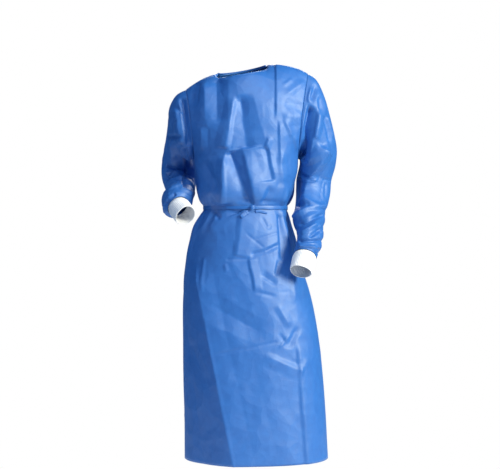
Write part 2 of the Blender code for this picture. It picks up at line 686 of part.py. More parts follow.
def neck_line(outer, normals, angles):
    """Points and normals of the panels round the neck, from the right back to the left back."""
    points, outs = [], []
    for name in ("back_right_panel", "front_panel", "back_left_panel"):
        for column, angle in enumerate(angles[name]):
            _, back, away = from_middle(angle)
            if away < NECK_ANGLE - 1e-6 or (not back and away < NECK_ANGLE + 1e-6):
                points.append(outer[name][-1, column])
                outs.append(normals[name][-1, column])
    return np.array(points), np.array(outs)


def make_binding(outer, normals, angles, material):
    """The narrow binding round the neck, open where the backs overlap."""
    points, outs = neck_line(outer, normals, angles)
    run = np.gradient(points, axis=0)
    ways = np.cross(outs, run)
    ways /= np.linalg.norm(ways, axis=1, keepdims=True)
    low = points + ways * SEAM_GAP * 2.2 - outs * CLOTH / 2
    half = outs * BINDING_THICKNESS / 2
    rise = ways * BINDING_HEIGHT
    outer_rows = np.stack([low + half, low + half + rise])
    inner_rows = np.stack([low - half, low - half + rise])
    return wall("neck_binding", outer_rows, inner_rows, material)


def make_belt(outer, normals, angles, material):
    """The waist tie, a flat band that lies on the panels all the way round."""
    row = int(np.argmin(np.abs(body_heights() - BELT_BOTTOM)))
    low, high, outs = [], [], []

    def add(name, columns):
        for column in columns:
            low.append(outer[name][row, column])
            high.append(outer[name][row + 1, column])
            outs.append(normals[name][row, column] + normals[name][row + 1, column])

    left = angles["back_left_panel"]
    free = [column for column, angle in enumerate(left) if angle < 360 - BACK_EDGE]
    add("front_panel", range(len(angles["front_panel"])))
    add("back_left_panel", free[1:])
    add("back_right_panel", range(len(angles["back_right_panel"]) - 1))
    outs = np.array(outs)
    outs[:, 2] = 0
    outs /= np.linalg.norm(outs, axis=1, keepdims=True)
    inner_rows = np.stack([low, high]) + outs * SEAM_GAP * 1.6
    outer_rows = inner_rows + outs * BELT_THICKNESS
    return wall("waist_tie", outer_rows, inner_rows, material, closed=True)


def make_knot(belt, material):
    """The knot, a small rounded lump that sits on the front of the waist tie."""
    surface = BVHTree.FromObject(belt, bpy.context.evaluated_depsgraph_get())
    hit = surface.ray_cast(Vector((KNOT_X, -1.0, KNOT_Z)), Vector((0, 1, 0)))[0]
    width, depth, height = (size / 2 for size in KNOT_SIZE)
    bpy.ops.mesh.primitive_uv_sphere_add(segments=12, ring_count=8, radius=1.0)
    knot = bpy.context.object
    knot.name = knot.data.name = "waist_knot"
    for vertex in knot.data.vertices:
        pinch = 1 + 0.25 * abs(vertex.co.z)
        vertex.co.x *= width * pinch
        vertex.co.y *= depth
        vertex.co.z *= height
        vertex.co += Vector((KNOT_X, hit.y - depth - SEAM_GAP * 4, KNOT_Z))
    knot.data.shade_smooth()
    knot.data.materials.append(material)
    return knot


def make_tie_end(name, end, front, material):
    """A flat end of the tie that lies a little off the front panel."""
    surface = BVHTree.FromObject(front, bpy.context.evaluated_depsgraph_get())
    run = np.array([end.x1 - end.x0, end.z1 - end.z0])
    run /= np.linalg.norm(run)
    across = np.array([-run[1], run[0]]) * end.half_width
    rows = []
    for share in np.linspace(0, 1, 9):
        row = []
        for sideways in (-1, -0.5, 0, 0.5, 1):
            x = end.x0 + (end.x1 - end.x0) * share + across[0] * sideways
            z = end.z0 + (end.z1 - end.z0) * share + across[1] * sideways
            hit = surface.ray_cast(Vector((x, -1.0, z)), Vector((0, 1, 0)))[0]
            row.append((x, hit.y - TIE_LIFT, z))
        rows.append(row)
    under = np.array(rows)
    return wall(name, under - np.array([0, CLOTH, 0]), under, material)


def make_neck_fastener(outer, inner, normals, angles, material):
    """The touch fastener at the nape, a pair of tapes that fills the space between the backs."""
    under, over = [], []
    for turn in np.array([-1, 0, 1]) * NECK_ANGLE / NECK_BACK_SPANS:
        left = int(np.argmin(np.abs(angles["back_left_panel"] - 180 - turn)))
        right = int(np.argmin(np.abs(angles["back_right_panel"] + 180 - turn)))
        way = normals["back_left_panel"][-3:-1, left] * SEAM_GAP
        under.append(outer["back_left_panel"][-3:-1, left] + way)
        over.append(inner["back_right_panel"][-3:-1, right] - way)
    under, over = np.stack(under, axis=1), np.stack(over, axis=1)
    return wall("neck_fastener", over, under, material)


def main():
    """Builds every piece of the gown."""
    clear_scene()
    blue = cloth_material("blue_cloth", BLUE_CLOTH)
    white = cloth_material("white_knit", WHITE_KNIT)
    outer, inner, normals, angles = shape_panels()
    panels = make_panels(outer, inner, blue)
    make_cuff("cuff_left", outer["sleeve_left"], LEFT_CUFF_END, True, white)
    make_cuff("cuff_right", outer["sleeve_right"], RIGHT_CUFF_END, False, white)
    make_binding(outer, normals, angles, blue)
    belt = make_belt(outer, normals, angles, blue)
    make_knot(belt, blue)
    make_tie_end("tie_end_left", LEFT_TIE_END, panels["front_panel"], blue)
    make_tie_end("tie_end_right", RIGHT_TIE_END, panels["front_panel"], blue)
    make_neck_fastener(outer, inner, normals, angles, white)


main()
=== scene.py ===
"""Looks of a blue surgical gown that keeps the form it has when it is worn, with nobody in it.

The front faces -Y, +Z is up and the wearer's left is +X. The origin is the middle of the neck
seat. Lengths are in metres unless a name says otherwise.
"""

from __future__ import annotations

import logging
import math
from dataclasses import dataclass, field
from enum import Enum
from functools import cached_property
from typing import NamedTuple, Sequence

import bpy
import numpy as np
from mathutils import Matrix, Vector

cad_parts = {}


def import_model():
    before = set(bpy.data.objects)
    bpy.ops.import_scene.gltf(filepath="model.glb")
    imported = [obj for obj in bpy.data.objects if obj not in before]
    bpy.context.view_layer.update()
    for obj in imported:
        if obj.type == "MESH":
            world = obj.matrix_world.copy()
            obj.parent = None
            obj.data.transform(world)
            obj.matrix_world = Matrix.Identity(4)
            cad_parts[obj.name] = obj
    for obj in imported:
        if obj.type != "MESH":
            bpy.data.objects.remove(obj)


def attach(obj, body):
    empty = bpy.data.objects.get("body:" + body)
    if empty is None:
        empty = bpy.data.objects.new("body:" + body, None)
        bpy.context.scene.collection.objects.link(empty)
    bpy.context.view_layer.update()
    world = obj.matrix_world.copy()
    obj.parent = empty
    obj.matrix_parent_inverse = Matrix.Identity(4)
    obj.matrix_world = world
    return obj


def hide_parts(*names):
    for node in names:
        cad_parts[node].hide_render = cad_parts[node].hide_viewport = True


LOG = logging.getLogger("gown")
Array = np.ndarray
Colour = tuple[float, float, float]
Material = bpy.types.Material
Piece = bpy.types.Object
Socket = bpy.types.NodeSocket
MILLIMETRE = 0.001


# Curves shared by the pieces


def through(keys: Sequence[float], values: Sequence, at: Array) -> Array:
    """A smooth curve through values at rising keys.

    Args:
        keys: Rising numbers.
        values: A number or a row of numbers for each key.
        at: Where to read the curve.

    Returns:
        The values read, one for each number of at.
    """
    key, value = np.asarray(keys, float), np.asarray(values, float)
    slopes = np.gradient(value, key, axis=0)
    at = np.clip(np.asarray(at, float), key[0], key[-1])
    index = np.clip(np.searchsorted(key, at, side="right") - 1, 0, len(key) - 2)
    span = key[index + 1] - key[index]
    t = (at - key[index]) / span
    if value.ndim > 1:
        t, span = t[..., None], span[..., None]
    start, end = value[index], value[index + 1]
    leave, arrive = slopes[index] * span, slopes[index + 1] * span
    cubic = (2 * start - 2 * end + leave + arrive) * t**3
    square = (3 * end - 3 * start - 2 * leave - arrive) * t**2
    return cubic + square + leave * t + start


def ease(share: Array) -> Array:
    """Rises smoothly from 0 to 1 as share does."""
    share = np.clip(share, 0.0, 1.0)
    return share * share * (3 - 2 * share)


def tent(share: Array, blunt: float = 0.04) -> Array:
    """A ridge with straight flanks and a slightly blunt top.

    Args:
        share: Distance from the ridge as a share of the flank.
        blunt: How much of the flank the rounded top takes.

    Returns:
        1 on the ridge, 0 from the foot of the flank on.
    """
    away = np.sqrt(share**2 + blunt**2) - blunt
    foot = math.sqrt(1 + blunt**2) - blunt
    return np.clip(1 - away / foot, 0, 1)


def unit(vectors: Array) -> Array:
    """The same directions, 1 long."""
    return vectors / np.maximum(np.linalg.norm(vectors, axis=-1, keepdims=True), 1e-12)


# Sizes of the worn form


def table_of(kind: type, *rows: tuple[float, ...]) -> list:
    """The rows of a table, each as a tuple of its kind."""
    return [kind(*row) for row in rows]


class Section(NamedTuple):
    """A level cut through the body of the gown."""

    z: float
    centre_x: float
    half_width: float
    front_depth: float
    back_depth: float


class Shoulder(NamedTuple):
    """A point of a shoulder seam, share of the way from the neck to the armhole."""

    share: float
    x: float
    z: float


class Ring(NamedTuple):
    """A ring of a sleeve: its outer and inner line, half its depth, and its tilt in degrees."""

    outer_x: float
    outer_y: float
    outer_z: float
    inner_x: float
    inner_y: float
    inner_z: float
    half_depth: float
    tilt: float


SECTIONS = table_of(
    Section,
    (-1.174, 0.040, 0.218, 0.176, 0.176),
    (-1.034, 0.036, 0.215, 0.171, 0.171),
    (-0.939, 0.031, 0.213, 0.166, 0.166),
    (-0.817, 0.024, 0.207, 0.160, 0.160),
    (-0.695, 0.013, 0.196, 0.150, 0.150),
    (-0.610, 0.004, 0.181, 0.141, 0.140),
    (-0.560, -0.002, 0.171, 0.134, 0.131),
    (-0.512, -0.003, 0.160, 0.127, 0.120),
    (-0.470, -0.003, 0.147, 0.119, 0.108),
    (-0.438, 0.003, 0.134, 0.111, 0.096),
    (-0.415, 0.007, 0.127, 0.108, 0.090),
    (-0.396, 0.005, 0.135, 0.122, 0.098),
    (-0.375, 0.005, 0.144, 0.130, 0.104),
    (-0.340, 0.006, 0.151, 0.132, 0.107),
    (-0.300, 0.009, 0.157, 0.128, 0.111),
    (-0.266, 0.009, 0.159, 0.123, 0.113),
)
LEFT_SHOULDER = table_of(
    Shoulder,
    (0.00, 0.076, 0.021),
    (0.30, 0.113, 0.020),
    (0.55, 0.143, 0.016),
    (0.80, 0.174, 0.007),
    (1.00, 0.198, -0.006),
)
RIGHT_SHOULDER = table_of(
    Shoulder,
    (0.00, -0.082, -0.007),
    (0.25, -0.103, -0.013),
    (0.45, -0.122, -0.021),
    (0.72, -0.148, -0.036),
    (1.00, -0.174, -0.054),
)
LEFT_RINGS = table_of(
    Ring,
    (0.198, 0.000, -0.006, 0.168, 0.000, -0.266, 0.068, 0),
    (0.226, 0.002, -0.028, 0.172, 0.003, -0.268, 0.069, -3),
    (0.250, 0.006, -0.080, 0.173, 0.008, -0.273, 0.068, -5),
    (0.266, 0.012, -0.135, 0.173, 0.014, -0.281, 0.065, -8),
    (0.279, 0.020, -0.187, 0.171, 0.022, -0.292, 0.062, -10),
    (0.288, 0.032, -0.237, 0.168, 0.034, -0.306, 0.060, -10),
    (0.284, 0.043, -0.285, 0.164, 0.045, -0.326, 0.057, -3),
    (0.272, 0.048, -0.330, 0.163, 0.047, -0.352, 0.055, 8),
    (0.268, 0.039, -0.370, 0.162, 0.034, -0.384, 0.053, 22),
    (0.258, 0.014, -0.410, 0.158, 0.006, -0.418, 0.051, 32),
    (0.245, -0.020, -0.450, 0.150, -0.030, -0.450, 0.050, 37),
    (0.241, -0.055, -0.486, 0.161, -0.062, -0.484, 0.047, 40),
    (0.235, -0.083, -0.519, 0.161, -0.087, -0.514, 0.042, 40),
    (0.226, -0.103, -0.547, 0.155, -0.105, -0.538, 0.038, 40),
    (0.218, -0.114, -0.565, 0.150, -0.113, -0.555, 0.034, 38),
)
RIGHT_RINGS = table_of(
    Ring,
    (-0.174, 0.000, -0.054, -0.150, 0.000, -0.266, 0.068, 0),
    (-0.205, 0.005, -0.072, -0.156, 0.006, -0.268, 0.068, -8),
    (-0.225, 0.020, -0.106, -0.160, 0.020, -0.268, 0.066, -18),
    (-0.232, 0.047, -0.150, -0.160, 0.046, -0.265, 0.061, -28),
    (-0.240, 0.080, -0.196, -0.156, 0.082, -0.256, 0.056, -32),
    (-0.249, 0.112, -0.236, -0.150, 0.114, -0.266, 0.052, -28),
    (-0.256, 0.128, -0.272, -0.147, 0.128, -0.286, 0.050, -8),
    (-0.257, 0.126, -0.307, -0.147, 0.124, -0.314, 0.049, 20),
    (-0.250, 0.109, -0.336, -0.148, 0.107, -0.337, 0.047, 50),
    (-0.237, 0.084, -0.352, -0.149, 0.082, -0.348, 0.046, 70),
    (-0.236, 0.044, -0.365, -0.149, 0.038, -0.360, 0.048, 74),
    (-0.242, 0.002, -0.382, -0.150, -0.004, -0.373, 0.050, 70),
    (-0.243, -0.036, -0.400, -0.151, -0.034, -0.386, 0.050, 64),
    (-0.238, -0.068, -0.415, -0.153, -0.052, -0.396, 0.044, 58),
    (-0.225, -0.088, -0.421, -0.165, -0.062, -0.403, 0.034, 55),
)
LEFT_CUFF_END = Ring(0.203, -0.141, -0.612, 0.138, -0.139, -0.599, 0.033, 34)
RIGHT_CUFF_END = Ring(-0.199, -0.125, -0.449, -0.141, -0.099, -0.431, 0.033, 55)


# Folds


class Fold(NamedTuple):
    """A ridge, or a trough where the height is negative, drawn on a flat view of the gown.

    Positions and widths are in steps of the drawing, the height in millimetres. Seen along the
    fold, near is the flank on its right and far the flank on its left. The end widths are 0
    where they are the same as at the start. The fades are the shares of its length over which
    the fold dies away. An end without a fade stops at once, or at the hem runs on.
    """

    x0: float
    y0: float
    x1: float
    y1: float
    near: float
    far: float
    height: float
    fade0: float = 0.3
    fade1: float = 0.3
    near_end: float = 0.0
    far_end: float = 0.0


class Gather(NamedTuple):
    """A gather at the belt: where it is round the body, its half width, height and reach."""

    angle: float
    half_width: float
    height: float
    below: float
    above: float


class Crease(NamedTuple):
    """A fold across a sleeve: ring and degrees round it, half sizes, slant, height in mm."""

    ring: float
    around: float
    half_rings: float
    half_around: float
    slant: float
    height: float


PRESSED_EDGES = table_of(
    Fold,
    (276, 64, 275.5, 124, 1.8, 20, 2.4, 0.05, 0.2),
    (278.5, 122, 279.5, 171, 1.8, 14, 2.0, 0.15, 0.3),
    (197, 256, 235, 457, 18, 14, 4.0, 0.15, 0.0, 30, 20),
    (197, 256, 235, 457, 18, 30, 4.0, 0.15, 0.0, 30, 42),
    (197, 256, 235, 457, 18, 46, 4.0, 0.15, 0.0, 30, 68),
    (197.5, 260, 235.5, 457, 1.8, 2.6, 1.0, 0.1, 0.0),
    (205, 256, 206.5, 296, 2.0, 2.4, 1.4, 0.15, 0.3),
    (296, 336, 305, 457, 3.0, 22, 3.6, 0.12, 0.0, 3.0, 24),
    (217, 350.5, 277, 338, 2.2, 2.2, -1.0, 0.15, 0.05),
    (229, 153, 251, 207, 4, 14, -8.5, 0.06, 0.0, 26, 4),
    (226, 156, 224, 206, 14, 4, 4.5, 0.25, 0.05, 16, 22),
    (245, 233, 264, 248, 1.8, 1.8, -0.8, 0.2, 0.1),
    (254, 240, 279, 232.5, 1.8, 2.2, -0.9, 0.15, 0.1),
    (228, 151.5, 247, 151.5, 1.8, 1.8, -0.5, 0.2, 0.2),
    (226, 258.5, 250, 258, 2.2, 1.8, -1.0, 0.1, 0.1),
)
CHEST_FOLDS = table_of(
    Fold,
    (205, 82, 207, 125, 12, 11, 3.5, 0.2, 0.4),
    (217, 80, 217, 127, 11, 12, -3.5, 0.1, 0.15),
    (235, 97, 226, 151, 8, 3, 3.2, 0.2, 0.03, 12, 5),
    (240, 97, 246.5, 151, 5, 12, -6.5, 0.15, 0.03, 19, 20),
    (203, 128, 203, 155, 10, 6, 3.5, 0.2, 0.3),
    (192, 128, 222, 127, 5, 4, 1.2),
    (280, 107, 305, 106, 10, 6, -1.8),
    (280, 119, 306, 119, 9, 8, 2.0),
    (282, 100, 306, 82, 5, 7, 2.4),
    (293, 80, 281, 90, 3, 4, 1.5),
    (282, 120, 292, 142, 3, 7, 2.2),
    (292, 136, 297, 152, 2.5, 5, 2.2),
    (269, 139, 265, 151, 2.4, 5, 2.6, 0.25, 0.05),
    (265, 147, 272, 183, 15, 2.6, -3.4, 0.1, 0.05, 19, 3.0),
    (279, 150, 282, 190, 4, 8, 2.6, 0.25, 0.3),
    (200, 83, 197, 108, 8, 3, -3.0, 0.1, 0.3),
    (283, 183, 279, 204, 5, 6, 2.6),
)
KNOT_FAN = table_of(
    Fold,
    (225, 155, 222.5, 206, 6, 3, 2.2, 0.2, 0.05, 9, 5),
    (243.5, 153, 257, 204, 3, 9, 1.8, 0.15, 0.1, 4, 16),
    (202, 160, 221, 194, 7, 6, -3.4, 0.25, 0.2),
    (208, 190, 216, 205, 4, 5, 2.4),
    (272, 188, 262, 206, 4, 6, -3.0, 0.3, 0.1),
    (244, 196, 250, 206, 2.4, 3, 2.0),
    (258, 204, 278, 202.5, 2.4, 3, -2.0),
)
SKIRT_FOLDS = table_of(
    Fold,
    (277, 329, 288, 345, 2.2, 2.2, -1.4),
    (277, 345, 289, 331, 2.2, 2.2, 1.4),
    (286, 345, 297, 323, 5, 4, -2.6),
    (208, 300, 268, 333, 18, 12, -4.0, 0.3, 0.3, 12, 12),
    (262, 350, 301, 368, 10, 5, 3.2, 0.3, 0.05),
    (275, 300, 289, 326, 5, 6, 2.2),
    (190, 335, 214, 392, 9, 8, -2.2),
    (305, 355, 301, 366, 4, 5, 1.4),
    (224, 372, 250, 382, 5, 6, 1.2),
    (243.5, 211, 237, 256, 5, 16, 2.6, 0.2, 0.05),
    (250, 258, 255, 292, 2.4, 8, 2.4, 0.05, 0.2),
    (261, 217, 267.5, 231, 2.4, 2.4, -1.0),
    (267.5, 231, 271, 224, 2.2, 2.2, -1.0),
    (250, 254.5, 266.4, 250.7, 4, 3, -3.0, 0.3, 0.18),
    (263.7, 251.7, 280, 243.5, 4, 3, -3.0, 0.18, 0.3),
    (259, 273, 277, 284, 3, 6, -2.2),
    (254, 290, 277, 295, 2.4, 3, -1.2),
    (279, 258, 274, 276, 2.6, 4, -2.4),
    (279, 212, 281, 262, 3, 6, -3.6, 0.15, 0.2),
    (214, 211, 221, 221, 3, 4, -2.6),
    (291, 266, 294, 304, 5, 7, 2.4),
    (225, 262, 228, 272, 2.2, 3, 1.2),
)
LEFT_SLEEVE_FOLDS = table_of(
    Fold,
    (309, 106, 298, 163, 3, 10, -12.0, 0.12, 0.05),
    (319, 112, 314, 141, 2.6, 6, 3.0, 0.2, 0.1),
    (316, 84, 309, 104, 3, 5, -3.6),
    (310, 88, 308, 106, 2.4, 4, 2.4),
    (319, 96, 320, 114, 3, 5, -3.0),
    (323, 117, 330, 144, 2.2, 3, -2.6, 0.1, 0.15),
    (326, 117, 334, 140, 2.2, 3, 2.4, 0.1, 0.2),
    (330, 145, 300, 164, 3.5, 6, 5.0, 0.15, 0.2),
    (327, 149, 307.6, 179.2, 12, 8, 10.0, 0.1, 0.16),
    (309.4, 174.4, 304.5, 207, 11, 14, 10.0, 0.18, 0.1),
    (300, 176, 296, 208, 4, 6, -5.0, 0.2, 0.1),
    (322, 179.5, 332, 180.5, 2.0, 2.4, -1.8),
    (325.5, 181, 325.5, 201, 2.0, 2.4, -1.4),
    (291, 219, 309.4, 208.2, 3, 5, 5.0, 0.2, 0.16),
    (306.4, 209.3, 328, 205.5, 3, 5, 5.0, 0.15, 0.2),
    (296, 226, 324, 214, 2.6, 3, -5.0, 0.15, 0.15),
    (298, 235, 317, 223, 3, 3.5, 4.0, 0.2, 0.2),
    (306, 238, 324, 226, 2.6, 3, -3.6, 0.2, 0.2),
    (318, 222, 321, 244, 3, 3, 2.6),
    (296, 241, 322, 240, 2.2, 2.4, -4.0, 0.1, 0.1),
    (296, 246, 321, 246.5, 2.2, 2.4, 3.4, 0.1, 0.1),
    (296, 251, 319, 253, 2.2, 2.4, -3.4, 0.1, 0.1),
)
RIGHT_SLEEVE_FOLDS = table_of(
    Fold,
    (173, 106, 181, 113, 3, 4, -2.6, 0.5, 0.0),
    (181, 97, 188.5, 148, 2.4, 10, -7.0, 0.12, 0.1),
    (175, 106, 183, 146, 7, 3, 3.0, 0.2, 0.1),
    (165, 137, 184, 138.5, 2.4, 4, -3.6, 0.1, 0.2),
    (176, 118, 170, 134, 4, 5, -3.0),
    (169, 141, 176, 158, 4, 4, 2.6),
    (163, 165, 187, 171, 2.2, 2.6, -4.4, 0.1, 0.1),
    (163, 171, 188, 175, 2.2, 2.6, 3.8, 0.1, 0.1),
    (164, 178, 187, 178.5, 2.2, 2.6, -4.4, 0.1, 0.1),
    (163, 202, 172.7, 189, 2.6, 3.4, 3.6, 0.15, 0.16),
    (170.8, 190.4, 182.2, 186.1, 2.6, 3.4, 3.6, 0.22, 0.22),
    (179.9, 185.8, 194, 196, 2.6, 3.4, 3.6, 0.16, 0.15),
    (166, 206, 178, 194, 2.4, 3, -3.6, 0.15, 0.15),
    (183, 148, 186, 192, 3, 8, -6.0, 0.1, 0.2),
    (172, 139, 171, 160, 3, 6, 3.2, 0.1, 0.3),
)
BACK_FOLDS = table_of(
    Fold,
    (213, 105, 233, 200, 13, 15, -8.0, 0.35, 0.10),
    (274, 111, 258, 201, 13, 13, -8.0, 0.35, 0.10),
    (225, 236, 218, 457, 16, 13, 7.5, 0.25, 0.0, 22, 17),
    (268, 242, 282, 457, 15, 18, 8.0, 0.25, 0.0, 20, 24),
    (200, 250, 190, 457, 9, 14, -7.0, 0.25, 0.0),
    (298, 262, 310, 457, 12, 9, -7.0, 0.25, 0.0),
    (246, 300, 250, 457, 8, 10, -5.0, 0.3, 0.0),
    (212, 84, 216, 124, 9, 5, 3.0, 0.2, 0.2),
    (252, 92, 262, 150, 5, 12, -4.5, 0.15, 0.1, 9, 18),
    (286, 104, 270, 146, 4, 8, 3.0, 0.2, 0.2),
    (226, 150, 214, 204, 4, 12, -4.0, 0.1, 0.1, 8, 5),
    (276, 154, 283, 196, 4, 9, 3.0, 0.2, 0.2),
    (206, 268, 236, 300, 14, 8, -3.6),
    (252, 262, 296, 292, 12, 8, 3.4, 0.25, 0.2),
    (212, 352, 252, 376, 11, 6, 3.2, 0.3, 0.1),
    (300, 318, 272, 362, 8, 14, -3.8, 0.2, 0.2),
    (196, 392, 240, 402, 10, 12, 2.6),
)
BACK_EDGES = table_of(
    Fold,
    (232, 80, 231.5, 196, 1.8, 18, 2.2, 0.1, 0.15),
    (270, 76, 271, 132, 1.8, 14, 2.0, 0.1, 0.2),
    (206, 127.5, 290, 126.5, 2.0, 2.0, -0.9, 0.1, 0.1),
    (227, 222, 222, 457, 1.8, 20, 2.8, 0.1, 0.0),
    (274, 230, 283, 352, 1.8, 16, 2.6, 0.1, 0.2),
    (204, 258, 292, 257, 2.2, 2.0, -1.0, 0.1, 0.1),
    (198, 347, 304, 349, 2.2, 2.2, -1.0, 0.1, 0.1),
)
GATHERS = table_of(
    Gather,
    (-70, 10, 0.007, 0.200, 0.060),
    (-44, 8, -0.005, 0.080, 0.050),
    (58, 9, 0.007, 0.160, 0.060),
    (84, 10, -0.008, 0.240, 0.080),
    (104, 12, 0.010, 0.300, 0.090),
    (128, 12, -0.009, 0.260, 0.100),
    (150, 12, 0.010, 0.220, 0.090),
    (172, 12, -0.009, 0.300, 0.100),
    (-166, 12, 0.010, 0.260, 0.090),
    (-142, 13, -0.010, 0.300, 0.090),
    (-116, 13, 0.010, 0.240, 0.080),
    (-94, 10, -0.008, 0.260, 0.070),
)
LEFT_CREASES = table_of(
    Crease,
    (3.4, 250, 0.90, 60, -0.010, -7),
    (6.2, 270, 0.68, 70, 0.006, -8),
    (8.4, 260, 0.52, 70, -0.004, 7),
    (9.3, 200, 0.38, 80, 0.004, -5),
    (10.1, 200, 0.38, 90, 0.003, 5),
    (10.6, 270, 0.45, 80, 0.004, -6),
    (11.2, 230, 0.30, 110, -0.003, 5),
    (11.8, 200, 0.30, 120, 0.003, -5),
    (12.4, 230, 0.30, 130, 0.002, 4),
    (13.0, 180, 0.26, 150, -0.001, -4),
)
RIGHT_CREASES = table_of(
    Crease,
    (3.6, 260, 0.83, 60, -0.008, -7),
    (6.6, 240, 0.60, 70, 0.004, -6),
    (8.0, 120, 0.45, 90, 0.003, -6),
    (8.8, 100, 0.45, 110, -0.003, 6),
    (9.0, 280, 0.52, 80, 0.004, 6),
    (9.6, 110, 0.38, 130, 0.002, -6),
    (10.3, 90, 0.38, 140, -0.002, 7),
    (11.0, 120, 0.30, 140, 0.001, -5),
    (11.7, 180, 0.30, 150, -0.002, 4),
    (12.4, 140, 0.30, 150, 0.002, -5),
    (13.0, 200, 0.26, 150, -0.001, 4),
)


class SleeveSizes(NamedTuple):
    """What sets the form of one sleeve."""

    rings: Sequence[Ring]
    folds: Sequence[Fold]
    creases: Sequence[Crease]


SLEEVES = {
    "sleeve_left": SleeveSizes(LEFT_RINGS, LEFT_SLEEVE_FOLDS, LEFT_CREASES),
    "sleeve_right": SleeveSizes(RIGHT_RINGS, RIGHT_SLEEVE_FOLDS, RIGHT_CREASES),
}


@dataclass(frozen=True)
class Drawing:
    """The flat view that folds are drawn on, seen from the front.

    Attributes:
        step: Length of a step.
        middle: Steps from the drawing's left edge to x = 0.
        neck: Steps from the drawing's top edge to z = 0.
        relief: How much higher the folds stand than they are drawn.
        sway: How far lines stray, as a share of the length of a wave.
        sway_lengths: Lengths of the waves, in steps.
        pressed_stray: How much of that pressed edges stray.
        overrun: Where a fold without an end fade stops, as a share of its length.
        hem_row: Such a fold runs on to the hem if it ends below this row.
    """

    step: float = 0.00305
    middle: float = 243.0
    neck: float = 72.0
    relief: float = 1.9
    sway: float = 0.004
    sway_lengths: tuple[float, ...] = (11.0, 23.0, 47.0)
    pressed_stray: float = 0.15
    overrun: float = 1.02
    hem_row: float = 450.0

    def _sway(self, across: Array, down: Array, seed: int) -> Array:
        """How far the lines of the folds stray from straight.

        Args:
            across: Steps from the left of the drawing.
            down: Steps from its top.
            seed: Number that the waves come from.

        Returns:
            The stray of each point, in steps.
        """
        chance = np.random.default_rng(seed)
        total = np.zeros_like(across)
        for length in self.sway_lengths:
            for _ in range(3):
                way, phase = chance.uniform(0, math.pi), chance.uniform(0, 2 * math.pi)
                run = across * math.cos(way) + down * math.sin(way)
                total += self.sway * length * np.sin(run * 2 * math.pi / length + phase)
        return total

    def lift(self, folds: Sequence[Fold], x: Array, z: Array, stray: float = 1.0) -> Array:
        """How far folds lift the cloth.

        Args:
            folds: The folds drawn on this view.
            x: Where the points are across.
            z: How high the points are.
            stray: How much the lines stray, 0 for pressed edges.

        Returns:
            The lift of each point, in metres.
        """
        across, down = x / self.step + self.middle, self.neck - z / self.step
        swing = self._sway(across, down, 3) * stray, self._sway(across, down, 7) * stray
        across, down = across + swing[0], down + swing[1]
        total = np.zeros_like(across)
        for fold in folds:
            run = np.array([fold.x1 - fold.x0, fold.y1 - fold.y0], float)
            length = float(np.linalg.norm(run))
            run /= length
            along = ((across - fold.x0) * run[0] + (down - fold.y0) * run[1]) / length
            share = np.clip(along, 0, 1)
            aside = (down - fold.y0) * run[0] - (across - fold.x0) * run[1]
            near = fold.near + ((fold.near_end or fold.near) - fold.near) * share
            far = fold.far + ((fold.far_end or fold.far) - fold.far) * share
            ridge = tent(np.where(aside > 0, aside / near, -aside / far))
            start = ease(along / max(fold.fade0, 1e-3))
            if fold.fade1 > 0:
                end = ease((1 - along) / fold.fade1)
            else:
                end = 1.0 * ((along < self.overrun) | (fold.y1 > self.hem_row))
            total += fold.height * MILLIMETRE * self.relief * ridge * start * end
        return total


@dataclass(frozen=True)
class Crumples:
    """Many small creases at chance places, as pressed cloth keeps.

    Attributes:
        seed: Number that the chance places come from.
        count: How many creases.
        length: Shortest and longest half length.
        width: Narrowest and widest half width.
        height: Least and greatest height.
        way: Middle direction in degrees from level.
        spread: How far directions differ from it.
    """

    seed: int
    count: int
    length: tuple[float, float] = (0.012, 0.050)
    width: tuple[float, float] = (0.004, 0.012)
    height: tuple[float, float] = (0.0004, 0.0016)
    way: float = 90.0
    spread: float = 90.0

    def lift(self, across: Array, along: Array) -> Array:
        """How far the creases lift the cloth.

        Args:
            across: Distance of the points across the cloth.
            along: Distance of the points along the cloth.

        Returns:
            The lift of each point.
        """
        chance = np.random.default_rng(self.seed)
        low = np.array([across.min(), along.min()])
        high = np.array([across.max(), along.max()])
        total = np.zeros_like(across)
        for _ in range(self.count):
            middle = low + (high - low) * chance.random(2)
            way = math.radians(self.way + self.spread * chance.uniform(-1, 1))
            length = chance.uniform(*self.length)
            width = chance.uniform(*self.width)
            height = chance.uniform(*self.height) * chance.choice((-1.0, 1.0))
            bow = chance.uniform(-0.25, 0.25)
            u, v = across - middle[0], along - middle[1]
            run = (u * math.cos(way) + v * math.sin(way)) / length
            aside = (v * math.cos(way) - u * math.sin(way)) / width
            aside = aside + bow * run**2 * length / width
            total += height * tent(np.abs(aside)) * ease(1 - np.abs(run))
        return total


CRUMPLES = {
    "front": Crumples(12, 120, height=(0.0002, 0.0007)),
    "back_left": Crumples(23, 110),
    "back_right": Crumples(31, 110),
    "sleeve_left": Crumples(41, 120, way=20.0, spread=70.0),
    "sleeve_right": Crumples(53, 120, way=20.0, spread=70.0),
}


# Plain forms that the folds are laid on


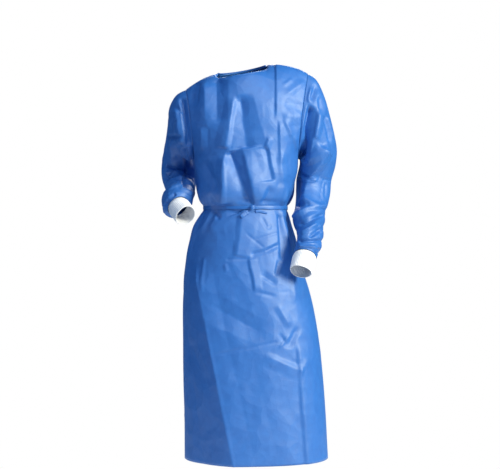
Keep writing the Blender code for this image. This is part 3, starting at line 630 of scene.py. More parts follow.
@dataclass
class Cloth:
    """A grid of points of one piece of cloth.

    Attributes:
        points: Rows by columns by x, y, z.
        across: Distance across the cut cloth of each point.
        along: Distance along the cut cloth of each point.
        closed: Whether the last column meets the first.
    """

    points: Array
    across: Array
    along: Array
    closed: bool = False

    def normals(self) -> Array:
        """Outward directions of the grid.

        Returns:
            A vector 1 long for each point.
        """
        grid = self.points
        if self.closed:
            grid = np.concatenate([grid[:, -1:], grid, grid[:, :1]], axis=1)
        a, b, c, d = grid[:-1, :-1], grid[:-1, 1:], grid[1:, 1:], grid[1:, :-1]
        face = np.cross(c - a, d - b)
        total = np.zeros_like(grid)
        total[:-1, :-1] += face
        total[:-1, 1:] += face
        total[1:, 1:] += face
        total[1:, :-1] += face
        return unit(total[:, 1:-1] if self.closed else total)

    def area(self) -> float:
        """Area of the grid's faces.

        Returns:
            The area.
        """
        grid = self.points
        if self.closed:
            grid = np.concatenate([grid, grid[:, :1]], axis=1)
        a, b, c, d = grid[:-1, :-1], grid[:-1, 1:], grid[1:, 1:], grid[1:, :-1]
        return float(np.linalg.norm(np.cross(c - a, d - b), axis=-1).sum() / 2)


@dataclass(frozen=True)
class BodyForm:
    """The body of the gown between the hem, the armholes and the neck.

    Attributes:
        hem_z: Height of the hem.
        underarm_z: Height of the underarm points.
        belt_z: Height of the middle of the waist tie.
        belt_height: Height of the waist tie.
        roundness: Power of the body's oval, 2 for a plain one.
        lower_rows: Spans of the grid below the underarm.
        plain_rows: Those of them over the plain lower skirt.
        plain_z: Where the plain lower skirt ends.
        upper_rows: Spans of the grid above it.
        neck_angle: Where the neckline meets the shoulder, in degrees from the middle.
        back_edge: Where a back panel ends, past the middle of the back.
        chest_turn: How much the columns turn in as they climb the chest.
        chest_climb: Share of the climb over which they do.
        side_bend: Power of the way in to the shoulder.
        front_bend: Power of the way back to the shoulder.
        shoulder_round: How round the cloth goes over the shoulder.
        neck_round: How much rounder it is below the neck.
        neck_front_depth: How far forward the neckline goes.
        neck_back_depth: How far back it goes.
        neck_front_dip: How far it dips in front.
        neck_back_dip: How far it dips behind.
        soft_reach: Degrees and rows that are smoothed under the ends of the neckline.
        soft_passes: How often they are.
        layer_start: Where the right back begins to rise over the left one.
        layer_step: How far the right back lies over the left one.
        mean_radius: Distance across the cloth for a turn of one radian.
    """

    hem_z: float = -1.174
    underarm_z: float = -0.266
    belt_z: float = -0.415
    belt_height: float = 0.012
    roundness: float = 2.15
    lower_rows: int = 230
    upper_rows: int = 78
    plain_rows: int = 34
    plain_z: float = -0.900
    neck_angle: float = 34.0
    back_edge: float = 205.5
    chest_turn: float = 0.36
    chest_climb: float = 0.45
    side_bend: float = 1.6
    front_bend: float = 2.6
    shoulder_round: float = 0.5
    neck_round: float = 0.35
    neck_front_depth: float = 0.078
    neck_back_depth: float = 0.060
    neck_front_dip: float = 0.026
    neck_back_dip: float = 0.004
    soft_reach: float = 12.0
    soft_passes: int = 60
    layer_start: float = 95.0
    layer_step: float = 0.005
    mean_radius: float = 0.19

    def section(self, z: Array) -> Array:
        """Centre, half width, front depth and back depth at height z."""
        rows = [row[1:] for row in SECTIONS]
        return np.moveaxis(through([row.z for row in SECTIONS], rows, z), -1, 0)

    @staticmethod
    def from_middle(angle: Array) -> tuple[Array, Array, Array]:
        """Where angles round the body lie.

        Args:
            angle: Degrees from the middle of the front, positive to the wearer's left.

        Returns:
            The side, whether at the back, and degrees from the nearer middle line.
        """
        wrapped = (np.asarray(angle, float) + 180.0) % 360.0 - 180.0
        back = np.abs(wrapped) > 90.0
        away = np.where(back, 180.0 - np.abs(wrapped), np.abs(wrapped))
        return np.where(wrapped < 0, -1.0, 1.0), back, away

    def rounded(self, share: Array) -> Array:
        """A sine or cosine turned into its share of a slightly squared oval."""
        return np.sign(share) * np.abs(share) ** (2.0 / self.roundness)

    def ring(self, angle: Array, z: Array) -> Array:
        """Points below the underarm.

        Args:
            angle: Degrees round the body.
            z: Heights, of a shape that goes with angle.

        Returns:
            Points, x, y, z last.
        """
        side, back, away = self.from_middle(angle)
        centre, half_width, front, rear = self.section(z)
        turn = np.radians(away)
        x = centre + side * half_width * self.rounded(np.sin(turn))
        y = np.where(back, rear, -front) * self.rounded(np.cos(turn))
        return np.stack([x, y, z + 0 * x], axis=-1)

    def top_edge(self, angle: Array) -> Array:
        """Points of the shoulder seams and the neckline.

        Args:
            angle: Degrees round the body.

        Returns:
            Points, x, y, z last.
        """
        side, back, away = self.from_middle(angle)
        share = np.clip((away - self.neck_angle) / (90 - self.neck_angle), 0, 1)
        seams = [
            through([row.share for row in rows], [row[1:] for row in rows], share)
            for rows in (LEFT_SHOULDER, RIGHT_SHOULDER)
        ]
        seam = np.where((side > 0)[..., None], seams[0], seams[1])
        left, right = LEFT_SHOULDER[0], RIGHT_SHOULDER[0]
        swing = np.radians(90) * np.clip(away / self.neck_angle, 0, 1)
        x = (left.x + right.x) / 2 + side * (left.x - right.x) / 2 * np.sin(swing)
        level = right.z + (left.z - right.z) * (x - right.x) / (left.x - right.x)
        dip = np.where(back, self.neck_back_dip, self.neck_front_dip)
        depth = np.where(back, self.neck_back_depth, -self.neck_front_depth)
        z = level - dip * np.sqrt(np.clip(np.cos(swing), 0, 1))
        neck = np.stack([x, depth * np.cos(swing), z], axis=-1)
        shoulder = np.stack([seam[..., 0], 0 * x, seam[..., 1]], axis=-1)
        return np.where((away >= self.neck_angle)[..., None], shoulder, neck)

    def upper(self, angle: Array, climb: Array) -> Array:
        """Points between the underarm and the top edge.

        Args:
            angle: Degrees round the body.
            climb: From 0 at the underarm to 1 at the top.

        Returns:
            Points, x, y, z last.
        """
        side, back, away = self.from_middle(angle)
        centre, half_width, front, rear = self.section(np.asarray(self.underarm_z))
        top = self.top_edge(angle)
        rise = np.sin(np.radians(90) * np.clip(climb / self.chest_climb, 0, 1))
        turn_in = 1 - self.chest_turn * rise
        turn = np.radians(away) * turn_in
        reach = self.rounded(np.sin(turn) / np.sin(np.radians(90) * turn_in))
        low_x = centre + side * half_width * reach
        x = low_x + (top[..., 0] - low_x) * climb**self.side_bend
        depth = np.where(back, rear, -front) * self.rounded(np.cos(turn))
        over_neck = np.clip(1 - away / self.neck_angle, 0, 1)
        power = self.shoulder_round + self.neck_round * ease(over_neck)
        keep = (1 - climb**self.front_bend) ** power
        y = top[..., 1] + (depth - top[..., 1]) * keep
        z = self.underarm_z + (top[..., 2] - self.underarm_z) * climb
        return np.stack([x, y, z], axis=-1)

    def column(self, angle: float) -> Array:
        """A column of the upper body with its points an even way apart.

        Args:
            angle: Degrees round the body.

        Returns:
            Points from the underarm to the top edge.
        """
        fine = np.sin(np.linspace(0, math.pi / 2, 500))
        line = self.upper(np.full(fine.shape, float(angle)), fine)
        steps = np.linalg.norm(np.diff(line, axis=0), axis=1)
        along = np.concatenate([[0.0], np.cumsum(steps)])
        at = np.linspace(0, along[-1], self.upper_rows + 1)
        return np.stack([np.interp(at, along, line[:, k]) for k in range(3)], axis=-1)

    def cloth(self, angles: Array) -> Cloth:
        """The plain form of a panel.

        Args:
            angles: Degrees round the body of its columns.

        Returns:
            Its grid, with rows from the hem to the top edge.
        """
        plain, rest = self.plain_rows, self.lower_rows - self.plain_rows
        skirt = np.linspace(self.hem_z, self.plain_z, plain + 1)
        heights = np.concatenate([skirt, np.linspace(self.plain_z, self.underarm_z, rest + 1)[1:]])
        lower = self.ring(angles[None, :], heights[:, None])
        upper = np.stack([self.column(angle) for angle in angles], axis=1)[1:]
        points = self._softened(np.concatenate([lower, upper]), angles)
        steps = np.linalg.norm(np.diff(points, axis=0), axis=-1)
        along = np.concatenate([np.zeros((1, len(angles))), np.cumsum(steps, axis=0)])
        across = np.radians(angles)[None, :] * self.mean_radius + 0 * along
        return Cloth(points, across, along)

    def _softened(self, points: Array, angles: Array) -> Array:
        """Smooths the cloth under the points where the neckline meets the shoulders.

        Args:
            points: Grid of a panel.
            angles: Degrees round the body of its columns.

        Returns:
            The smoothed grid.
        """
        _, _, away = self.from_middle(angles)
        near = ease(1.6 - np.abs(away - self.neck_angle) / self.soft_reach)
        near[[0, -1]] = 0.0
        rows = np.arange(len(points))[::-1]
        share = (near[None, :] * ease(rows / self.soft_reach)[:, None])[..., None]
        share = share * (np.arange(len(points)) > self.lower_rows)[:, None, None]
        for _ in range(self.soft_passes):
            even = points.copy()
            even[:, 1:-1] = (points[:, :-2] + points[:, 2:]) / 2
            points = points + (even - points) * share * 0.5
        return points

    def layer_lift(self, angles: Array, rows: int) -> Array:
        """How far the right back stands off as it goes over the left one.

        Args:
            angles: Degrees round the body of the columns.
            rows: Rows of the grid.

        Returns:
            The lift of each point.
        """
        row = (np.arange(rows) - rows + 1 + self.upper_rows) / self.upper_rows
        climb = np.clip(row, 0, 1)[:, None]
        way_up = 180.0 - self.neck_angle - self.layer_start
        start = self.layer_start + way_up * ease(climb * 1.3)
        past = (np.abs(angles)[None, :] - start) / (360.0 - self.back_edge - start)
        return self.layer_step * ease(past)

    def gather_lift(self, angle: Array, z: Array) -> Array:
        """How far the gathers at the belt lift the cloth.

        Args:
            angle: Degrees round the body.
            z: Heights.

        Returns:
            The lift of each point.
        """
        below = np.clip(self.belt_z - self.belt_height / 2 - z, 0, None)
        above = np.clip(z - self.belt_z - self.belt_height / 2, 0, None)
        total = np.zeros(np.broadcast(angle, z).shape)
        for gather in GATHERS:
            turn = (angle - gather.angle + 180.0) % 360.0 - 180.0
            hump = ease(1 - np.abs(turn) / gather.half_width)
            down = np.sin(math.pi * np.clip(below / gather.below, 0, 1) ** 0.5)
            up = np.sin(math.pi * np.clip(above / gather.above, 0, 1) ** 0.6)
            total += gather.height * hump * (down + up)
        return total


@dataclass(frozen=True)
class SleeveForm:
    """A sleeve between its armhole and the seam of its cuff.

    Attributes:
        rings: Rings from the armhole to the cuff.
        upper_rows: Spans of the grid down to the wrist.
        wrist_rows: Spans of the grid over the bunched wrist.
        wrist_rings: How many rings the bunched wrist takes.
        armhole_rings: How many rings keep some of the armhole's form.
        mean_radius: Distance across the cloth for a turn of one radian.
    """

    rings: Sequence[Ring]
    upper_rows: int = 100
    wrist_rows: int = 56
    wrist_rings: int = 4
    armhole_rings: float = 2.5
    mean_radius: float = 0.065

    @staticmethod
    def oval(row: Array, around: Array) -> Array:
        """Points of an oval ring.

        Args:
            row: The numbers of a Ring.
            around: Degrees from the underarm by way of the front.

        Returns:
            Points, x, y, z last.
        """
        row = np.asarray(row, float)
        tilt, turn = math.radians(row[7]), np.radians(around)[..., None]
        forward = row[6] * np.array([0.0, -math.cos(tilt), math.sin(tilt)])
        centre, outward = (row[:3] + row[3:6]) / 2, (row[:3] - row[3:6]) / 2
        return centre - outward * np.cos(turn) + forward * np.sin(turn)

    def cloth(self, armhole: Array) -> tuple[Cloth, Array, Array]:
        """The plain form of the sleeve.

        Args:
            armhole: Points of the armhole, from the underarm by way of the front.

        Returns:
            Its grid, the ring that each row is at, and the degrees of each column.
        """
        last = len(self.rings) - 1.0
        upper = np.linspace(0, last - self.wrist_rings, self.upper_rows + 1)
        wrist = np.linspace(last - self.wrist_rings, last, self.wrist_rows + 1)[1:]
        at = np.concatenate([upper, wrist])
        around = np.arange(len(armhole)) * 360.0 / len(armhole)
        rows = through(np.arange(len(self.rings)), self.rings, at)
        plain = np.stack([self.oval(row, around) for row in rows])
        fading = 1 - ease(at / self.armhole_rings)
        points = plain + (armhole - plain[0])[None] * fading[:, None, None]
        steps = np.linalg.norm(np.diff(points, axis=0), axis=-1).mean(axis=1)
        along = np.concatenate([[0.0], np.cumsum(steps)])[:, None] + 0 * points[..., 0]
        across = np.radians(around)[None, :] * self.mean_radius + 0 * along
        return Cloth(points, across, along, closed=True), at, around

    @staticmethod
    def crease_lift(creases: Sequence[Crease], at: Array, around: Array) -> Array:
        """How far the creases across the sleeve lift it.

        Args:
            creases: The creases.
            at: Ring that each row is at.
            around: Degrees of each column.

        Returns:
            The lift of each point.
        """
        total = np.zeros((len(at), len(around)))
        for crease in creases:
            turn = (around[None, :] - crease.around + 180.0) % 360.0 - 180.0
            row = at[:, None] - crease.ring - crease.slant * turn
            ridge = tent(np.abs(row) / crease.half_rings)
            reach = ease(1 - np.abs(turn) / crease.half_around)
            total += crease.height * MILLIMETRE * ridge * reach
        return total


# Finishes


class Tone(Enum):
    """Colours of the gown's cloths and of the studio."""

    BLUE = (0.012, 0.122, 0.450)
    WHITE = (0.860, 0.865, 0.880)
    FLOOR = (0.900, 0.900, 0.900)


class Nodes:
    """A material's nodes, with short ways to add and join them."""

    def __init__(self, name: str) -> None:
        """Makes an empty Principled material.

        Args:
            name: Name of the material.
        """
        self.material = bpy.data.materials.new(name)
        self.material.use_nodes = True
        self.tree = self.material.node_tree
        self.shader = self.tree.nodes["Principled BSDF"]

    @staticmethod
    def fill(node: bpy.types.Node, **values: object) -> bpy.types.Node:
        """Sets values of a node.

        Args:
            node: The node.
            values: Sockets by their name in lower case, and properties.

        Returns:
            The node.
        """
        for name, value in values.items():
            sockets = [s for s in node.inputs if s.name.lower().replace(" ", "_") == name]
            if sockets:
                sockets[0].default_value = value
            else:
                setattr(node, name, value)
        return node

    def add(self, kind: str, **values: object) -> bpy.types.Node:
        """Adds a node whose type is called ShaderNode and then kind."""
        return self.fill(self.tree.nodes.new("ShaderNode" + kind), **values)

    def texture(self, kind: str, place: Socket, **values: object) -> bpy.types.Node:
        """Adds a texture.

        Args:
            kind: Name of its type without ShaderNodeTex.
            place: Where it is read.
            values: Its sockets, by their name in lower case.

        Returns:
            The texture's node.
        """
        node = self.add("Tex" + kind, **values)
        self.join(place, node.inputs["Vector"])
        return node

    def join(self, start: Socket, end: Socket) -> None:
        """Links two sockets."""
        self.tree.links.new(start, end)

    def place(self) -> Socket:
        """Object coordinates."""
        return self.add("TexCoord").outputs["Object"]

    def bump(
        self,
        height: Socket,
        strength: float,
        distance: float,
        under: Socket | None = None,
    ) -> Socket:
        """Turns a height into a bent normal.

        Args:
            height: Socket that gives the height.
            strength: Strength of the bump.
            distance: Height of 1, in metres.
            under: Normal of a coarser bump that this one lies on.

        Returns:
            The normal's socket.
        """
        node = self.add("Bump", strength=strength, distance=distance)
        self.join(height, node.inputs["Height"])
        if under is not None:
            self.join(under, node.inputs["Normal"])
        return node.outputs["Normal"]


@dataclass(frozen=True)
class Clouds:
    """Faint clouds in the colour of a cloth.

    Attributes:
        noise: Scale, detail and roughness of their noise.
        ends: Noise of the darkest and of the lightest.
        dark: Share of each part of the colour in the darkest.
        light: Share of each part of the colour in the lightest.
    """

    noise: tuple[float, float, float]
    ends: tuple[float, float]
    dark: Colour
    light: Colour

    def dress(self, nodes: Nodes, tone: Tone, place: Socket) -> None:
        """Gives a material its colour.

        Args:
            nodes: The material.
            tone: Its colour.
            place: Where the noise is read.
        """
        scale, detail, roughness = self.noise
        cloud = nodes.texture("Noise", place, scale=scale, detail=detail, roughness=roughness)
        ramp = nodes.add("ValToRGB")
        stops = zip(ramp.color_ramp.elements, self.ends, (self.dark, self.light))
        for stop, end, shares in stops:
            stop.position = end
            stop.color = (*(part * share for part, share in zip(tone.value, shares)), 1)
        nodes.join(cloud.outputs["Fac"], ramp.inputs["Fac"])
        nodes.join(ramp.outputs["Color"], nodes.shader.inputs["Base Color"])


@dataclass(frozen=True)
class NonwovenFinish:
    """Spunbonded cloth: soft satin, tiny bond points and a faint cloudiness.

    Attributes:
        name: Name of the material.
        tone: Colour.
        roughness: Roughness of the shader.
        bond_scale: Bond points per metre.
        bond_height: Depth of a bond point.
        crease_stray: How far the fine creases stray from straight.
        creases: Cells per metre and height of each layer of fine creases.
        clouds: Clouds in its colour.
    """

    name: str
    tone: Tone = Tone.BLUE
    roughness: float = 0.55
    bond_scale: float = 620.0
    bond_height: float = 0.00022
    crease_stray: float = 0.05
    creases: tuple[tuple[float, float], ...] = ((11.0, 0.0050), (27.0, 0.0016))
    clouds: Clouds = Clouds((46.0, 4.0, 0.62), (0.28, 0.72), (0.86, 0.90, 0.93), (1.16, 1.10, 1.05))

    def material(self) -> Material:
        """Builds the material.

        Returns:
            The new material.
        """
        nodes = Nodes(self.name)
        nodes.fill(
            nodes.shader,
            roughness=self.roughness,
            specular_ior_level=0.88,
            specular_tint=(0.92, 1.0, 0.92, 1.0),
            sheen_weight=0.06,
            sheen_roughness=0.45,
            sheen_tint=(0.35, 0.60, 1.0, 1.0),
        )
        place = nodes.place()
        self.clouds.dress(nodes, self.tone, place)
        fibre = nodes.texture("Noise", place, scale=300.0, detail=3.0, roughness=0.6)
        bond = nodes.texture("Voronoi", place, scale=self.bond_scale, randomness=0.35)
        stray = nodes.texture("Noise", place, scale=9.0, detail=2.0)
        bent = nodes.add("VectorMath", operation="MULTIPLY_ADD")
        bent.inputs[1].default_value = (self.crease_stray,) * 3
        nodes.join(stray.outputs["Color"], bent.inputs[0])
        nodes.join(place, bent.inputs[2])
        under = None
        for scale, height in self.creases:
            paper = nodes.texture("Voronoi", bent.outputs["Vector"], scale=scale)
            under = nodes.bump(paper.outputs["Distance"], 1.0, height, under)
        soft = nodes.bump(fibre.outputs["Fac"], 0.35, 0.0006, under)
        normal = nodes.bump(bond.outputs["Distance"], 0.30, self.bond_height, soft)
        nodes.join(normal, nodes.shader.inputs["Normal"])
        return nodes.material


@dataclass(frozen=True)
class KnitFinish:
    """Ribbed knit: matt, with small loops along the ribs.

    Attributes:
        name: Name of the material.
        tone: Colour.
        loops: Loops per metre.
        clouds: Clouds in its colour.
    """

    name: str
    tone: Tone = Tone.WHITE
    loops: float = 720.0
    clouds: Clouds = Clouds((160.0, 3.0, 0.5), (0.3, 0.7), (0.93, 0.93, 0.94), (1.04, 1.04, 1.04))

    def material(self) -> Material:
        """Builds the material.

        Returns:
            The new material.
        """
        nodes = Nodes(self.name)
        nodes.fill(nodes.shader, roughness=0.88, specular_ior_level=0.25, sheen_weight=0.25)
        place = nodes.place()
        self.clouds.dress(nodes, self.tone, place)
        loop = nodes.texture("Voronoi", place, scale=self.loops, randomness=0.55)
        normal = nodes.bump(loop.outputs["Distance"], 0.6, 0.0004)
        nodes.join(normal, nodes.shader.inputs["Normal"])
        return nodes.material


# Meshes


def mesh_from_grid(
    name: str, points: Array, material: Material, across: bool, along: bool = False
) -> Piece:
    """An object with a face between each four neighbours of a grid.

    Args:
        name: Name of the object.
        points: Rows by columns by x, y, z.
        material: What it is made of.
        across: Whether the last column meets the first.
        along: Whether the last row meets the first.

    Returns:
        The object, shaded smooth.
    """
    rows, columns = points.shape[:2]
    index = np.arange(rows * columns).reshape(rows, columns)
    if across:
        index = np.concatenate([index, index[:, :1]], axis=1)
    if along:
        index = np.concatenate([index, index[:1]], axis=0)
    a, b, c, d = index[:-1, :-1], index[:-1, 1:], index[1:, 1:], index[1:, :-1]
    faces = np.stack([a, b, c, d], axis=-1).reshape(-1, 4)
    mesh = bpy.data.meshes.new(name)
    mesh.from_pydata(points.reshape(-1, 3).tolist(), [], faces.tolist())
    mesh.validate()
    mesh.shade_smooth()
    mesh.materials.append(material)
    piece = bpy.data.objects.new(name, mesh)
    bpy.context.scene.collection.objects.link(piece)
    return piece


def capped_tube(
    name: str, points: Array, material: Material, closed: bool
) -> Piece:
    """A tube through closed rings, with its ends filled unless it is closed.

    Args:
        name: Name of the object.
        points: Rings by points of a ring by x, y, z.
        material: What it is made of.
        closed: Whether the last ring meets the first.

    Returns:
        The object, with its faces outwards.
    """
    piece = mesh_from_grid(name, points, material, across=True, along=closed)
    mesh = piece.data
    if not closed:
        rows, columns = points.shape[:2]
        corners = [tuple(vertex.co) for vertex in mesh.vertices]
        faces = [tuple(face.vertices) for face in mesh.polygons]
        corners += [tuple(points[0].mean(axis=0)), tuple(points[-1].mean(axis=0))]
        first, last = rows * columns, rows * columns + 1
        for column in range(columns):
            after = (column + 1) % columns
            faces.append((after, column, first))
            start = (rows - 1) * columns
            faces.append((start + column, start + after, last))
        mesh.clear_geometry()
        mesh.from_pydata(corners, [], faces)
        mesh.shade_smooth()
    if signed_volume(mesh) < 0:
        mesh.flip_normals()
    return piece


def signed_volume(mesh: bpy.types.Mesh) -> float:
    """Volume inside a mesh, negative where its faces point inwards.

    Args:
        mesh: A closed mesh.

    Returns:
        The volume.
    """
    mesh.calc_loop_triangles()
    total = 0.0
    for triangle in mesh.loop_triangles:
        a, b, c = (mesh.vertices[index].co for index in triangle.vertices)
        total += a.dot(b.cross(c)) / 6
    return total


def thicken(piece: Piece, thickness: float) -> None:
    """Gives a sheet a thickness that goes inwards.

    Args:
        piece: The sheet.
        thickness: How thick.
    """
    solidify = piece.modifiers.new("thickness", "SOLIDIFY")
    solidify.thickness = thickness
    solidify.offset = -1.0
    solidify.use_rim = True


@dataclass(frozen=True)
class Ribbon:
    """A flat band with rounded edges, swept along a line.

    Attributes:
        width: Width of the band.
        thickness: Its thickness.
        sides: Points round its section.
    """

    width: float
    thickness: float
    sides: int = 12

    def rings(self, line: Array, outs: Array, closed: bool) -> Array:
        """Rings of the band.

        Args:
            line: Points of its middle line.
            outs: Direction that its flat side faces at each point.
            closed: Whether the line meets itself.

        Returns:
            Rings by points by x, y, z.
        """
        if closed:
            run = np.roll(line, -1, axis=0) - np.roll(line, 1, axis=0)
        else:
            run = np.gradient(line, axis=0)
        run = unit(run)
        side = unit(np.cross(outs, run))
        out = np.cross(run, side)
        turn = np.linspace(0, 2 * math.pi, self.sides, endpoint=False)
        flat = np.sign(np.cos(turn)) * np.abs(np.cos(turn)) ** 0.55 * self.width / 2
        deep = np.sign(np.sin(turn)) * np.abs(np.sin(turn)) ** 0.75 * self.thickness / 2
        return (
            line[:, None]
            + side[:, None] * flat[None, :, None]
            + out[:, None] * deep[None, :, None]
        )


# Pieces of the gown


@dataclass
class GownCloth:
    """The front, the two backs and the two sleeves.

    Attributes:
        form: Plain form of the body.
        drawing: View that the folds are drawn on.
        thickness: Thickness of the cloth.
        seam_gap: Space between two pieces at a seam.
        gap_share: How much of it each piece gives.
        seam_sink: How far a seam is drawn in.
        seam_reach: How far down a sleeve that goes.
        seam_turn: How far round the body it goes, in degrees.
        top_fade: Rows over which folds die away at the top.
        belt_fade: Height over which they do at the belt.
        side_fade: Degrees over which they do at the sides.
        crumple_fade: Degrees over which chance creases do at the sides.
        end_fade: Rings over which folds die away at the ends of a sleeve.
        cloths: The grids with their folds, by piece, once they are shaped.
    """

    form: BodyForm
    drawing: Drawing
    thickness: float = 0.0008
    seam_gap: float = 0.0003
    gap_share: float = 0.65
    seam_sink: float = 0.0010
    seam_reach: float = 0.008
    seam_turn: float = 1.6
    top_fade: float = 6.0
    belt_fade: float = 0.010
    side_fade: float = 4.0
    crumple_fade: float = 3.0
    end_fade: float = 0.5
    cloths: dict[str, Cloth] = field(default_factory=dict)

    @cached_property
    def angles(self) -> dict[str, Array]:
        """Columns of the three panels.

        Returns:
            Degrees round the body, by panel.
        """
        neck, edge = self.form.neck_angle, self.form.back_edge
        shoulder = np.concatenate([np.linspace(90, 66, 17), np.linspace(66, neck, 25)[1:]])
        front = np.linspace(-neck, neck, 69)
        turn = 180 - neck
        left = np.concatenate([np.linspace(90, turn, 33), np.linspace(turn, edge, 35)[1:]])
        left[0] += 1e-7  # counts as the back's side of the seam
        return {
            "front": np.concatenate([-shoulder[:-1], front, shoulder[:-1][::-1]]),
            "back_left": left,
            "back_right": -left[::-1],
        }

    def _body_lift(self, name: str, cloth: Cloth) -> Array:
        """How far a panel stands off its plain form.

        Args:
            name: Which panel.
            cloth: Its plain form.

        Returns:
            The lift of each point.
        """
        form, points = self.form, cloth.points
        angle = self.angles[name][None, :] + 0 * cloth.along
        _, _, away = form.from_middle(angle)
        x, z = points[..., 0], points[..., 2]
        rows = np.arange(len(points))[:, None]
        top = ease((len(points) - 1 - rows) / self.top_fade)
        below_arm = rows <= form.lower_rows
        off_belt = ease((np.abs(z - form.belt_z) - form.belt_height / 2) / self.belt_fade)
        side = ease((90 - away) / self.side_fade)
        soft, pressed = BACK_FOLDS, BACK_EDGES
        if name == "front":
            soft, pressed = CHEST_FOLDS + KNOT_FAN + SKIRT_FOLDS, PRESSED_EDGES
        drawn = self.drawing.lift(soft, x, z)
        drawn += self.drawing.lift(pressed, x, z, self.drawing.pressed_stray)
        small = CRUMPLES[name].lift(cloth.across, cloth.along)
        lift = (drawn * side + small * ease((90 - away) / self.crumple_fade)) * top * off_belt
        lift += form.gather_lift(angle, z) * below_arm
        if name == "back_right":
            lift += form.layer_lift(self.angles[name], len(points))
        own_side = away <= 90.0001
        return lift - self.seam_sink * (1 - ease((90 - away) / self.seam_turn)) * own_side

    def _sleeve_lift(
        self, name: str, cloth: Cloth, at: Array, around: Array, normals: Array
    ) -> Array:
        """How far a sleeve stands off its plain form.

        Args:
            name: Which sleeve.
            cloth: Its plain form.
            at: Ring that each row is at.
            around: Degrees of each column.
            normals: Outward directions.

        Returns:
            The lift of each point.
        """
        rings, folds, creases = SLEEVES[name]
        facing = ease((-normals[..., 1] - 0.05) / 0.30)
        lift = self.drawing.lift(folds, cloth.points[..., 0], cloth.points[..., 2]) * facing
        lift += SleeveForm.crease_lift(creases, at, around)
        lift += CRUMPLES[name].lift(cloth.across, cloth.along)
        to_end = len(rings) - 1.0 - at
        lift *= ease(at / self.end_fade)[:, None] * ease(to_end / self.end_fade)[:, None]
        return lift - self.seam_sink * (1 - ease(cloth.along / self.seam_reach))

    def shape(self) -> None:
        """Works out every grid with its folds."""
        form = self.form
        plain = {name: form.cloth(angles) for name, angles in self.angles.items()}
        lifts = {name: self._body_lift(name, cloth) for name, cloth in plain.items()}
        start = form.lower_rows

        def armhole(front: Array, back: Array) -> Array:
            """The armhole's points, from the underarm up the front and down the back."""
            return np.concatenate([front[start:], back[start:-1][::-1][:-1]])

        front, left, right = (plain[name].points for name in ("front", "back_left", "back_right"))
        holes = {
            "sleeve_left": armhole(front[:, -1], left[:, 0]),
            "sleeve_right": armhole(front[:, 0], right[:, -1]),
        }
        for name, hole in holes.items():
            cloth, at, around = SleeveForm(SLEEVES[name].rings).cloth(hole)
            if name == "sleeve_left":
                cloth = Cloth(cloth.points[:, ::-1], cloth.across[:, ::-1], cloth.along, True)
                around = around[::-1]
            lifts[name] = self._sleeve_lift(name, cloth, at, around, cloth.normals())
            plain[name] = cloth
        normals = self._shared_normals(plain)
        for name, cloth in plain.items():
            points = cloth.points + normals[name] * lifts[name][..., None]
            self.cloths[name] = Cloth(points, cloth.across, cloth.along, cloth.closed)

    @staticmethod
    def _shared_normals(cloths: dict[str, Cloth]) -> dict[str, Array]:
        """Outward directions that are the same for all the pieces that meet at a point.

        Args:
            cloths: The grids, by piece.

        Returns:
            Vectors 1 long, by piece.
        """
        own = {name: cloth.normals() for name, cloth in cloths.items()}
        points = np.concatenate([cloth.points.reshape(-1, 3) for cloth in cloths.values()])
        # cells of 0.1 mm, shifted so that x = 0 isn't on the edge of one
        keys = np.floor(points / 1e-4 + 0.37).astype(np.int64)
        _, same, count = np.unique(keys, axis=0, return_inverse=True, return_counts=True)
        same = same.reshape(-1)
        total = np.zeros((len(count), 3))
        every = np.concatenate([normal.reshape(-1, 3) for normal in own.values()])
        np.add.at(total, same, every)
        total = unit(total)
        found, offset = {}, 0
        for name, cloth in cloths.items():
            size = cloth.points.shape[0] * cloth.points.shape[1]
            found[name] = total[same[offset : offset + size]].reshape(cloth.points.shape)
            offset += size
        return found

    def _drawn_in(self, points: Array, name: str) -> Array:
        """The grid with its seams moved into it, so that pieces stay apart.

        Args:
            points: Grid of a piece.
            name: Which piece.

        Returns:
            The moved grid.
        """
        moved = points.copy()
        step = self.gap_share * self.seam_gap
        moved[-1] += unit(points[-2] - points[-1]) * step
        if name.startswith("sleeve"):
            moved[0] += unit(points[1] - points[0]) * step
            return moved
        if name != "back_right":
            moved[:, 0] += unit(moved[:, 1] - moved[:, 0]) * step
        if name != "back_left":
            moved[:, -1] += unit(moved[:, -2] - moved[:, -1]) * step
        return moved

    def build(self, material: Material) -> dict[str, Piece]:
        """Builds the pieces.

        Args:
            material: What they are made of.

        Returns:
            The objects, by piece.
        """
        self.shape()
        pieces = {}
        names = {
            "front": "front_of_the_gown",
            "back_left": "left_back",
            "back_right": "right_back",
            "sleeve_left": "left_sleeve",
            "sleeve_right": "right_sleeve",
        }
        for name, cloth in self.cloths.items():
            grid = self._drawn_in(cloth.points, name)
            piece = mesh_from_grid(names[name], grid, material, across=cloth.closed)
            thicken(piece, self.thickness)
            pieces[name] = piece
            LOG.info("%s: %d by %d, area %.3f", names[name], *grid.shape[:2], cloth.area())
        return pieces


